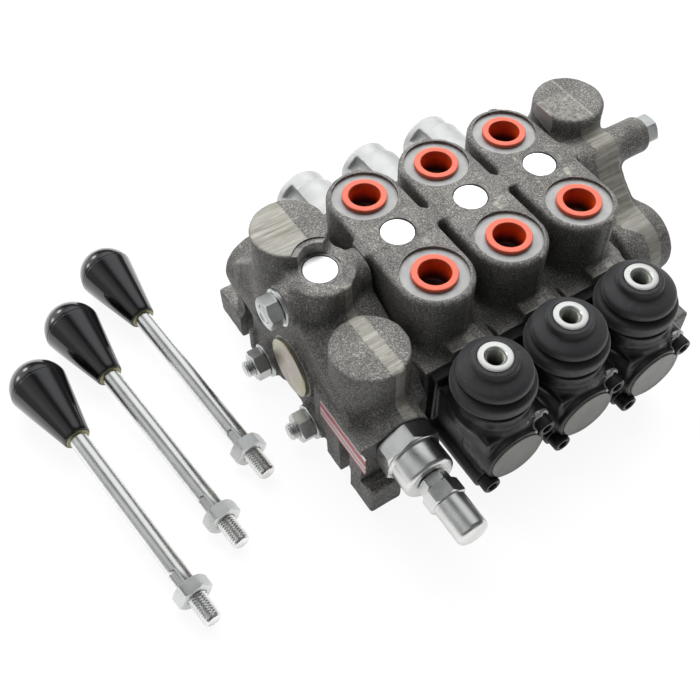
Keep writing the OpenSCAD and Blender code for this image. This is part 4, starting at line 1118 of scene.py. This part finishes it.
g = Geo()
for x, z in [(sx, BOSS_H) for sx in SX] + [(-92.0, BOSS_H - 0.5)]:
    prof = rnd([(0, z - 4.98), (8.9, z - 4.98), (8.98, z - 4.6), (8.98, z - 0.02), (0, z + 0.02)], [0, 0.2, 0.1, 0.5, 0], 4)
    g.add(lathe(prof, SEG), at(x, 0, 0))
g.obj("flush_core_plugs", ["bright"], STACK, "plug_bright", ["core_plugs"], 45)

# =====================================================================
# tie rods, nuts, washers, end plug, label
# =====================================================================
XI, XO = -116.0, 102.0
g = Geo()
for (y, z), a, b in [(ROD_TOP, XI - 9.6, 127.6)] + [(c, XI - 14.5, XO + 12) for c in ROD_LOW]:
    L = 22.0
    g.add(lathe([(0, a + L), (5.0, a + L), (5.0, b - L), (0, b - L)], 48), frame_x(0, y, z, 1))
    g.add(thread(5.0, 1.5, 0.0, L + 0.02, seg=64), frame_x(a + L, y, z, -1))
    g.add(thread(5.0, 1.5, 0.0, L + 0.02, seg=64), frame_x(b - L, y, z, 1))
g.obj("threaded_tie_rods", ["zinc"], STACK, "zinc_steel", ["tie_rods"], 40)

g = Geo()
for x, (y, z), a, s in [(XI - 2.0, ROD_TOP, 12, -1), (XI - 2.0, ROD_LOW[0], 20, -1), (XI - 2.0, ROD_LOW[1], 8, -1), (119.02, ROD_TOP, 0, 1), (XO + 0.02, ROD_LOW[0], 30, 1), (XO + 0.02, ROD_LOW[1], 30, 1)]:
    g.add(hexnut(9.3, 8.0 if s < 0 or x < 110 else 7.98, 5.02), frame_x(x, y, z, s) @ Matrix.Rotation(math.radians(a), 4, "Z"))
g.obj("hex_tie_rod_nuts", ["zinc"], STACK, "zinc_steel", ["tie_rod_nuts"], 30)

g = Geo()
for (y, z) in [ROD_TOP] + ROD_LOW:
    prof = rnd([(5.25, 1.0), (5.25, 0.0), (10.3, 0.0), (10.3, 1.96), (5.25, 1.96), (5.25, 1.0)], 0.35, 3)
    g.add(lathe(prof[:-1], SEG, closed=True), frame_x(XI - 0.02, y, z, -1))
g.obj("flat_tie_rod_washers", ["zinc"], STACK, "zinc_steel", ["tie_rod_washers"], 40)

g = Geo()
prof = [(0, -9.0), (12.6, -9.0), (13.05, -8.4), (13.05, 0.02), (17.0, 0.02), (17.0, 2.5), (0, 2.46)]
g.add(lathe(rnd(prof, [0, 0.2, 0.2, 0.1, 0.25, 0.55, 0], 4), 96), frame_x(XI, -8, 42, -1))
g.obj("yellow_end_plug", ["yellow"], STACK, "yellow_zinc", ["inlet_end_plug"], 32)

g = Geo()
fld = []
n = 24
# the strip follows the slightly uneven wall it is stuck on
xs = [XI - 0.75 + 0.0 * k for k in range(n + 1)]
ys = np.linspace(-79, -37, n + 1)
V, F = [], []
for k, y in enumerate(ys):
    dx = 0.10 * math.sin(k * 0.9)
    for z in (33.0, 36.5, 40.0, 43.5, 47.0):
        V.append((XI - 0.62 + dx * 0.5, y, z))
    for z in (47.0, 43.5, 40.0, 36.5, 33.0):
        V.append((XI + 0.15, y, z))
for k in range(n):
    for j in range(10):
        a, b = k * 10 + j, k * 10 + (j + 1) % 10
        F.append((a, b, b + 10, a + 10))
F.append(tuple(range(9, -1, -1)))
F.append(tuple(range(n * 10, n * 10 + 10)))
g.add((V, F))
o = g.obj("striped_label_plate", ["label"], STACK, "label_red", ["label_plate"], 40)

# =====================================================================
# relief cartridge
# =====================================================================
RX, RZ = -92.0, 38.0
g = Geo()
seg = 96
R = hexr(17.3, seg)
af = 17.3 * math.cos(math.pi / 6)
r0 = af * 0.965
d = 0.52 * np.maximum(R - r0, 0)
# local z 0 at y -75.05, growing to -Y
rs = [(6.5, -38.5), (12.4, -38.5), (13.0, -37.8), (13.0, -0.02), (r0, 0.0), (R, d * 0.6), (R, 10.95 - d), (r0, 10.95), (15.4, 10.95), (14.9, 11.2), (14.2, 12.4), (14.2, 23.6), (13.9, 24.7), (13.1, 25.55), (11.9, 25.95), (9.2, 25.95), (9.0, 25.7), (4.05, 25.7), (4.05, 6.3), (6.5, 5.95)]
g.add(rings(rs, seg, closed=True), frame_y(RX, -75.05, RZ, -1) @ Matrix.Rotation(math.radians(30), 4, "Z"))
g.obj("relief_cartridge_body", ["zinc_polished"], STACK, "zinc_steel", ["relief_body"], 30)
g = Geo()
g.add(hexnut(8.6, 5.96, 4.05, face=0.95), frame_y(RX, -101.02, RZ, -1) @ Matrix.Rotation(math.radians(12), 4, "Z"))
g.obj("relief_hex_locknut", ["zinc"], STACK, "zinc_steel", ["relief_locknut"], 30)
g = Geo()
R = hexr(10.4, seg)
r0 = 10.4 * math.cos(math.pi / 6) * 0.955
d = 0.55 * np.maximum(R - r0, 0)
rs = [(4.05, 0.5), (4.6, 0.0), (r0, 0.0), (R, d), (R, 8.98 - d), (r0, 8.98), (9.1, 9.05), (8.75, 9.5), (8.7, 10.2), (8.7, 26.6), (8.62, 27.4), (8.3, 28.2), (7.7, 28.9), (6.8, 29.25), (5.6, 29.28), (None, 29.28), ]
g.add(rings(rs, seg), frame_y(RX, -107.02, RZ, -1) @ Matrix.Rotation(math.radians(18), 4, "Z"))
# inside of the cap nut
g.add(rings([(None, 19.9), (4.04, 19.9), (4.05, 0.5)], seg), frame_y(RX, -107.02, RZ, -1))
g.obj("relief_acorn_cap_nut", ["zinc_polished"], STACK, "zinc_steel", ["relief_cap_nut"], 30)

# =====================================================================
# lever controls
# =====================================================================
def smooth_profile(pts, n=5):
    """Catmull-Rom through a closed loop of (r, z)."""
    P = [np.array(p, float) for p in pts]
    m = len(P)
    out = []
    for i in range(m):
        p0, p1, p2, p3 = P[(i - 1) % m], P[i], P[(i + 1) % m], P[(i + 2) % m]
        for k in range(n):
            t = k / n
            q = 0.5 * ((2 * p1) + (-p0 + p2) * t + (2 * p0 - 5 * p1 + 4 * p2 - p3) * t * t + (-p0 + 3 * p1 - 3 * p2 + p3) * t ** 3)
            out.append((float(q[0]), float(q[1])))
    return out


HUB_Y, PIV = -83.5, 58.0
BELLOWS = [(9.1, 85.3), (10.5, 85.5), (11.5, 85.2), (11.9, 84.3), (11.9, 82.9), (12.1, 81.9), (13.0, 81.3), (15.4, 80.5), (17.4, 79.6), (18.5, 78.7), (18.9, 77.5), (18.9, 75.6),
           (18.5, 74.4), (17.4, 73.9), (16.6, 73.4), (16.8, 72.8), (18.6, 72.5), (20.4, 71.9), (21.3, 70.8), (21.6, 69.2), (21.6, 67.2), (21.3, 65.8), (20.6, 65.0), (20.2, 64.4),
           (20.2, 63.6), (19.4, 63.3), (17.5, 63.4), (16.2, 64.2), (16.4, 66), (17.6, 67.6), (18.6, 69.0), (18.2, 70.4),
           (15.4, 71.8), (15.0, 73.8), (16.8, 75.4), (16.9, 77.2), (15.8, 78.8), (12.4, 80.0), (9.8, 81.2), (9.1, 82.6)]
for i, sx in enumerate(SX):
    # bellows
    prof = smooth_profile(BELLOWS, 5)
    V, F = lathe(prof, 144, closed=True)
    V = np.array(V)
    V[:, 0] += sx
    V[:, 1] += -85.0 + 1.5 * np.clip((V[:, 2] - 77) / 4.5, 0, 1)          # the collar sits on the hub, a little behind the skirt
    g = Geo().add((V, F))
    o = g.obj("rubber_bellows_%d" % (i + 1), ["rubber"], None, "rubber", ["bellows_%d" % (i + 1)], 60)
    ang = math.radians([4, 28, 90][i])
    vx, vy = V[:, 0] - sx, V[:, 1] + 84.2
    a = o.data.attributes.new("split", "FLOAT", "POINT")
    dd = np.abs(-vx * math.sin(ang) + vy * math.cos(ang))
    rr = np.hypot(vx, vy)
    a.data.foreach_set("value", (np.clip(1 - dd / 0.55, 0, 1) * (V[:, 2] > 78.5) * (V[:, 2] < 82.6) * (rr > 11.8) * (0 if i == 2 else 1)).astype(np.float32))
    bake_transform(o)

    # hub: bright ring, threaded hole, stem, pivot eye and ball
    g = Geo()
    seg = 72
    inner = tube_thread(5.0, 1.5, 68.4, 85.6, 0, seg=seg)
    rs = [(None, 68.4)] + inner + [(5.05, 85.75), (5.75, 86.35), (8.2, 86.42), (8.65, 86.25), (8.85, 85.8), (8.85, 71.4), (8.5, 71.0), (6.6, 71.0), (6.6, 64.6), (None, 64.6)]
    V, F = rings(rs, seg)
    g.add((V, [tuple(reversed(q)) for q in F]), at(sx, HUB_Y, 0))
    for k in range((len(inner) + 1) * seg):
        g.m[k] = 1
    g.add(lathe(rnd([(3.06, -7.5), (6.8, -7.5), (6.8, 7.5), (3.06, 7.5), (3.06, -7.5)], 0.4, 3)[:-1], 48, closed=True), frame_x(sx, HUB_Y, PIV, 1))
    g.add(lathe([(0, 63.6), (0, 63.5), (6.5, 63.5), (6.5, 65.2), (0, 65.2)][1:], 48), at(sx, HUB_Y, 0))
    pr = [(3.98 * math.sin(math.pi * k / 16), 40 - 3.98 * math.cos(math.pi * k / 16)) for k in range(0, 14)]
    pr = [(max(r, 0), z) for r, z in pr if not (z > 42.2 and r < 3.4)]
    pr += [(3.4, 44.0), (3.4, 51.6), (0, 51.6)]
    pr[0] = (0, 36.02)
    g.add(lathe(pr, 48), at(sx, HUB_Y, 0))
    g.obj("zinc_lever_hub_%d" % (i + 1), ["zinc_hub", "cut_thread"], "hub_%d" % (i + 1), "zinc_steel", ["lever_hub_%d" % (i + 1)], 38)

g = Geo()
for sx in SX:
    # stamped disc: rolled edge, shallow dish with a raised ring
    prof = [(0, 0), (15.1, 0), (15.3, 0.3), (15.3, 5.35), (15.0, 5.72), (14.5, 5.77), (13.4, 5.72), (13.1, 5.52), (0, 5.5)]
    g.add(lathe(rnd(prof, [0, 0.2, 0.2, 0.3, 0.3, 0.3, 0.25, 0.25, 0], 3), SEG), frame_y(sx + DISC_X, -106.03, DISC_Z, -1))
g.obj("stamped_box_covers", ["cover"], STACK, "cover_aluminium", ["lever_box_covers"], 40)


def socket_screw(rh, hh, rsh, lsh, rhex, dhex, seg=144, knurl=36):
    """Socket head cap screw, head top at z 0, shank downward."""
    th = 2 * np.pi * np.arange(seg) / seg
    kn = rh - 0.16 * (0.5 + 0.5 * np.cos(knurl * th))
    Rh = hexr(rhex, seg, 0.998)
    rs = [(None, -hh - lsh), (rsh * 0.8, -hh - lsh), (rsh, -hh - lsh + 0.6), (rsh, -hh), (rh - 0.25, -hh), (rh - 0.05, -hh + 0.2), (kn, -hh + 0.6), (kn, -1.0), (rh - 0.12, -0.7), (rh - 0.25, -0.35), (rh - 0.7, -0.02), (rhex + 0.35, 0.0), (np.minimum(Rh + 0.1, rhex + 0.1), -0.3), (Rh, -0.45), (Rh, -dhex), (None, -dhex - 0.7)]
    return rings(rs, seg)


g = Geo()
for sx in SX:
    for j, (q, yh) in enumerate(((BOX_Q[0], -107.03), (BOX_Q[1], -105.53))):
        g.add(socket_screw(5.0, 6.4, 3.0, abs(yh + 52), 2.9, 3.2), frame_y(sx + q[0], yh - 6.4, q[1], -1) @ Matrix.Rotation(math.radians([17, 41][j] + sx), 4, "Z"))
g.obj("socket_box_screws", ["screw"], STACK, "black_screw", ["lever_box_screws"], 35)
g = Geo()
for sx in SX:
    for q in ((-13, 53), (13, 27)):
        g.add(socket_screw(4.9, 5.9, 3.0, 19.0, 2.9, 3.0), frame_y(sx + q[0], 76, q[1], 1))
g.obj("socket_cap_screws", ["screw"], STACK, "black_screw", ["spring_cap_screws"], 35)

# =====================================================================
# springs
# =====================================================================
def coil(R, w, L, turns, seg=22, side=10, s0=0.0, s1=1.0):
    """A round wire coil, or the part of it between the shares s0 and s1 of its length."""
    full = turns * seg
    i0, i1 = int(round(s0 * full)), int(round(s1 * full))
    V, F = [], []
    for i in range(i0, i1 + 1):
        s = (i + (0.02 if s0 > 0 and i == i0 else 0.0)) / full
        a = 2 * math.pi * s * turns
        hgt = w + (L - 2 * w) * (s - 0.02 * math.sin(2 * math.pi * s))
        c = Vector((math.cos(a), math.sin(a), 0))
        for k in range(side):
            b = 2 * math.pi * k / side
            rr = R + w * math.cos(b)
            V.append((rr * c.x, rr * c.y, hgt + w * math.sin(b)))
    n = i1 - i0
    for i in range(n):
        for k in range(side):
            k2 = (k + 1) % side
            F.append((i * side + k, (i + 1) * side + k, (i + 1) * side + k2, i * side + k2))
    F.append(tuple(range(side)))
    F.append(tuple(n * side + k for k in range(side - 1, -1, -1)))
    return V, F


for i, sx in enumerate(SX):
    o = Geo().add(coil(7.4, 1.15, 26.8, 6), frame_y(sx, 89.9, 40, -1)).obj("spool_return_spring_%d" % (i + 1), ["spring"], STACK, "spring_steel", ["return_spring_%d" % (i + 1)], 60)
    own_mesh(o)
    o = Geo().add(coil(4.6, 0.6, 12.9, 5), frame_x(sx + 10.05, 18, 62, 1)).obj("load_check_spring_%d" % (i + 1), ["spring"], STACK, "spring_steel", ["check_springs"] if i == 0 else (), 60)
    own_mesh(o)
# the relief spring is made in two halves: the inner half is left unattached, the outer half rides on the valve stack
o = Geo().add(coil(4.6, 0.75, 25.4, 7, s1=0.5), frame_y(RX, -50.05, RZ, -1)).obj("relief_spring_inner_half", ["spring"], None, "spring_steel", ["relief_spring"], 60)
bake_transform(o)
o = Geo().add(coil(4.6, 0.75, 25.4, 7, s0=0.5), frame_y(RX, -50.05, RZ, -1)).obj("relief_spring_outer_half", ["spring"], STACK, "spring_steel", (), 60)
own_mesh(o)

# =====================================================================
# hand levers
# =====================================================================
TIP = [(-169.1, 143.6), (-203.3, 115.6), (-235.0, 87.2)]
ANG = [-84.44, -83.22, -82.9]
KR, KL, LL, RR = 16.2, 56.8, 183.8, 5.1
NU = LL - 18.8
AZ_K, AZ_N = KR + 0.06, 8.5 + 0.26
TILT = math.atan((AZ_K - AZ_N) / (NU - KR))


def lay(i):
    return (Matrix.Translation((TIP[i][0], TIP[i][1], AZ_K + KR * math.tan(TILT))) @ Matrix.Rotation(math.radians(ANG[i]), 4, "Z")
            @ Matrix.Rotation(TILT, 4, "Y") @ Matrix.Rotation(math.pi / 2, 4, "Y"))


def knob_r(u):
    if u < KR:
        return math.sqrt(max(0, KR * KR - (KR - u) ** 2))
    return KR - (KR - 7.5) * (u - KR) / (KL - KR)


for i in range(3):
    mx = lay(i)
    pr = [(0, 0)] + [(knob_r(KR * (1 - math.cos(math.pi / 2 * k / 24))), KR * (1 - math.cos(math.pi / 2 * k / 24))) for k in range(1, 24)]
    # moulding seam where the dome meets the cone
    pr += [(KR - 0.03, KR - 0.25), (KR - 0.20, KR + 0.05), (KR - 0.10, KR + 0.35)]
    pr += [(knob_r(u), u) for u in np.linspace(KR + 1.0, KL - 0.9, 22)]
    pr += [(knob_r(KL) - 0.08, KL - 0.3), (knob_r(KL) - 0.45, KL), (6.9, KL), (6.75, KL - 0.5), (RR + 0.02, KL - 0.5), (RR + 0.02, 23.9), (0, 23.9)]
    Geo().add(lathe(pr, 96), mx).obj("phenolic_knob_%d" % (i + 1), ["knob"], "lever_%d" % (i + 1), "knob_black", ["lever_knob_%d" % (i + 1)], 40)
    # rod with its spanner flat, brass insert collar and rolled thread
    g = Geo()
    seg = 64
    th = 2 * np.pi * np.arange(seg) / seg
    c_ = np.cos(th - math.radians(222))
    flat = np.where(c_ > 0.05, np.minimum(RR, 4.15 / np.maximum(c_, 0.05)), RR)
    f0, f1 = NU - 12.5, NU - 4.4
    rs = [(None, 24.0), (RR - 0.2, 24.0), (RR, 24.3), (RR, KL + 1.2), (RR, f0 - 1.1), ((RR + flat) / 2, f0 - 0.45), (flat, f0), (flat, f1), (np.minimum(flat, 4.9), f1 + 0.4), (4.75, f1 + 0.8), (None, f1 + 0.8)]
    g.add(rings(rs, seg), mx)
    g.add(thread(4.95, 1.5, f1 + 0.3, LL, depth=0.85, seg=64, ch1=1.4), mx)
    g.add(lathe(rnd([(RR, KL - 0.4), (6.7, KL - 0.4), (6.7, KL + 0.35), (6.1, KL + 0.75), (RR, KL + 0.9)], [0, 0, 0.2, 0.2, 0], 3), 64, closed=True), mx, 1)
    g.obj("lever_rod_shaft_%d" % (i + 1), ["rod", "brass"], "lever_%d" % (i + 1), "zinc_steel", ["lever_rod_%d" % (i + 1)], 34)
    g = Geo()
    g.add(hexnut(9.81, 8.0, 4.97), mx @ Matrix.Translation((0, 0, NU - 3.6)) @ Matrix.Rotation(math.radians(30), 4, "Z"))
    g.obj("lever_hex_locknut_%d" % (i + 1), ["zinc"], "lever_%d" % (i + 1), "zinc_steel", ["lever_locknut_%d" % (i + 1)], 30)

# =====================================================================
# carried-over CAD pieces get worked surfaces
# =====================================================================
KEEP = {"section_seals": "seal", "spool_seals": "seal", "pivot_pins": "ground", "spring_seats": "ground", "relief_poppet": "ground", "relief_adjusting_screw": "zinc"}
for i in (1, 2, 3):
    KEEP.update({"check_poppet_%d" % i: "ground", "spool_%d" % i: "ground", "spool_end_screw_%d" % i: "ground"})
for n_, mt in KEEP.items():
    o = NODES[n_]
    o.data.materials.clear()
    o.data.materials.append(M[mt])
left = [n_ for n_, o in NODES.items() if not o.hide_render and n_ not in KEEP]
if left:
    raise RuntimeError("plain CAD nodes left: %s" % left)

# =====================================================================
# stage: pale floor, studio light, camera
# =====================================================================
fm = bpy.data.materials.new("studio_floor")
fm.use_nodes = True
t = fm.node_tree
t.nodes.clear()
out = t.nodes.new("ShaderNodeOutputMaterial")
mixs = t.nodes.new("ShaderNodeMixShader")
em = t.nodes.new("ShaderNodeEmission")
df = t.nodes.new("ShaderNodeBsdfDiffuse")
lp = t.nodes.new("ShaderNodeLightPath")
df.inputs["Color"].default_value = (0.80, 0.80, 0.80, 1)
em.inputs["Color"].default_value = (1, 1, 1, 1)
em.inputs["Strength"].default_value = 1.0
# seen directly the floor stays clean and pale; in reflections it is a touch dimmer; as a bounce it is mostly lit paper
a1 = t.nodes.new("ShaderNodeMath")
a1.operation = "MULTIPLY"
a1.inputs[1].default_value = 0.70
a2 = t.nodes.new("ShaderNodeMath")
a2.operation = "MULTIPLY"
a2.inputs[1].default_value = 0.42
a3 = t.nodes.new("ShaderNodeMath")
a3.operation = "ADD"
a4 = t.nodes.new("ShaderNodeMath")
a4.operation = "ADD"
a4.inputs[1].default_value = 0.22
t.links.new(lp.outputs["Is Camera Ray"], a1.inputs[0])
t.links.new(lp.outputs["Is Glossy Ray"], a2.inputs[0])
t.links.new(a1.outputs[0], a3.inputs[0])
t.links.new(a2.outputs[0], a3.inputs[1])
t.links.new(a3.outputs[0], a4.inputs[0])
t.links.new(a4.outputs[0], mixs.inputs[0])
t.links.new(df.outputs[0], mixs.inputs[1])
t.links.new(em.outputs[0], mixs.inputs[2])
t.links.new(mixs.outputs[0], out.inputs[0])
me = bpy.data.meshes.new("floor")
me.from_pydata([(-4, -4, -0.00005), (4, -4, -0.00005), (4, 4, -0.00005), (-4, 4, -0.00005)], [], [(0, 1, 2, 3)])
floor = bpy.data.objects.new("floor", me)
floor.data.materials.append(fm)
scene.collection.objects.link(floor)

world = bpy.data.worlds.new("studio")
scene.world = world
world.use_nodes = True
wt = world.node_tree
wt.nodes.clear()
wo = wt.nodes.new("ShaderNodeOutputWorld")
wm = wt.nodes.new("ShaderNodeMixShader")
b1 = wt.nodes.new("ShaderNodeBackground")
b2 = wt.nodes.new("ShaderNodeBackground")
wl = wt.nodes.new("ShaderNodeLightPath")
wc = wt.nodes.new("ShaderNodeTexCoord")
wd = wt.nodes.new("ShaderNodeVectorMath")
wd.operation = "DOT_PRODUCT"
wd.inputs[1].default_value = (0.30, 0.50, 0.81)
GLOSS = [((-0.55, -0.10, 0.83), 12, 34, 0.42), ((-0.85, 0.30, 0.45), 10, 40, 0.30), ((0.35, -0.80, 0.45), 8, 30, 0.16),
         ((-0.18, 0.88, 0.42), 2, 8, 6.0), ((-0.61, 0.71, 0.32), 2, 8, 5.0), ((-0.42, 0.80, 0.42), 12, 34, 1.0)]
wr = wt.nodes.new("ShaderNodeMapRange")
wr.interpolation_type = "SMOOTHSTEP"
wr.inputs["From Min"].default_value = -0.35
wr.inputs["From Max"].default_value = 0.95
wr.inputs["To Min"].default_value = 0.032
wr.inputs["To Max"].default_value = 0.55
b1.inputs[0].default_value = (0.96, 0.98, 1.0, 1)
b2.inputs[0].default_value = (0.97, 0.97, 0.97, 1)
b2.inputs[1].default_value = 0.92
wt.links.new(wc.outputs["Generated"], wd.inputs[0])
wt.links.new(wd.outputs["Value"], wr.inputs["Value"])
wt.links.new(wr.outputs[0], b1.inputs[1])
# mirror-like surfaces see a studio of their own: a tall soft sheet behind the valve, a small one for the knob tips, dim walls
b3 = wt.nodes.new("ShaderNodeBackground")
b3.inputs[0].default_value = (0.97, 0.985, 1.0, 1)


def lobe(direction, c0, c1, gain):
    dd_ = wt.nodes.new("ShaderNodeVectorMath")
    dd_.operation = "DOT_PRODUCT"
    v_ = Vector(direction).normalized()
    dd_.inputs[1].default_value = tuple(v_)
    r_ = wt.nodes.new("ShaderNodeMapRange")
    r_.interpolation_type = "SMOOTHSTEP"
    r_.inputs["From Min"].default_value = math.cos(math.radians(c1))
    r_.inputs["From Max"].default_value = math.cos(math.radians(c0))
    r_.inputs["To Min"].default_value = 0.0
    r_.inputs["To Max"].default_value = gain
    wt.links.new(wc.outputs["Generated"], dd_.inputs[0])
    wt.links.new(dd_.outputs["Value"], r_.inputs["Value"])
    return r_.outputs[0]


def addv(a, b):
    n_ = wt.nodes.new("ShaderNodeMath")
    n_.operation = "ADD"
    wt.links.new(a, n_.inputs[0])
    if isinstance(b, float):
        n_.inputs[1].default_value = b
    else:
        wt.links.new(b, n_.inputs[1])
    return n_.outputs[0]


tot = addv(lobe((0.45, 0.54, 0.71), 17, 36, 1.02), 0.085)
for args in GLOSS:
    tot = addv(tot, lobe(*args))
wt.links.new(tot, b3.inputs[1])
wg = wt.nodes.new("ShaderNodeMixShader")
wt.links.new(wl.outputs["Is Glossy Ray"], wg.inputs[0])
wt.links.new(b1.outputs[0], wg.inputs[1])
wt.links.new(b3.outputs[0], wg.inputs[2])
wt.links.new(wl.outputs["Is Camera Ray"], wm.inputs[0])
wt.links.new(wg.outputs[0], wm.inputs[1])
wt.links.new(b2.outputs[0], wm.inputs[2])
wt.links.new(wm.outputs[0], wo.inputs[0])


def area(name, loc, target, size, power, color=(1, 1, 1), size_y=None):
    L = bpy.data.lights.new(name, "AREA")
    L.energy = power
    L.color = color
    L.size = size
    if size_y:
        L.shape = "RECTANGLE"
        L.size_y = size_y
    o = bpy.data.objects.new(name, L)
    scene.collection.objects.link(o)
    o.location = loc
    dvec = Vector(target) - Vector(loc)
    o.rotation_euler = dvec.to_track_quat("-Z", "Y").to_euler()
    return o


kd = Vector((0.30, 0.50, 0.82)).normalized()
for o_ in (area("key_softbox", kd * 1.5, (0, 0, 0.05), 1.9, 74, size_y=1.5),
           area("left_softbox", (-1.25, 0.25, 0.70), (-0.05, 0, 0.05), 0.8, 2.7),
           area("front_fill", (0.25, -1.5, 0.50), (0, -0.05, 0.04), 0.9, 0.5)):
    o_.visible_glossy = False

cam = bpy.data.cameras.new("view")
cam.sensor_fit = "HORIZONTAL"
cam.sensor_width = 36.0
cam.lens = 958.0752 / 700 * 36
cam.clip_start = 0.01
co = bpy.data.objects.new("view", cam)
scene.collection.objects.link(co)
right = (0.844714, -0.535161, -0.007782)
down = (-0.434269, -0.676820, -0.594412)
fwd = (0.312839, 0.505487, -0.804123)
mtx = Matrix.Identity(4)
for r_ in range(3):
    mtx[r_][0], mtx[r_][1], mtx[r_][2] = right[r_], -down[r_], -fwd[r_]
mtx[0][3], mtx[1][3], mtx[2][3] = -0.244643, -0.273599, 0.452650
co.matrix_world = mtx
scene.camera = co
scene.view_settings.view_transform = "Standard"
scene.view_settings.look = "None"
scene.view_settings.exposure = 0.0
scene.view_settings.gamma = 1.0
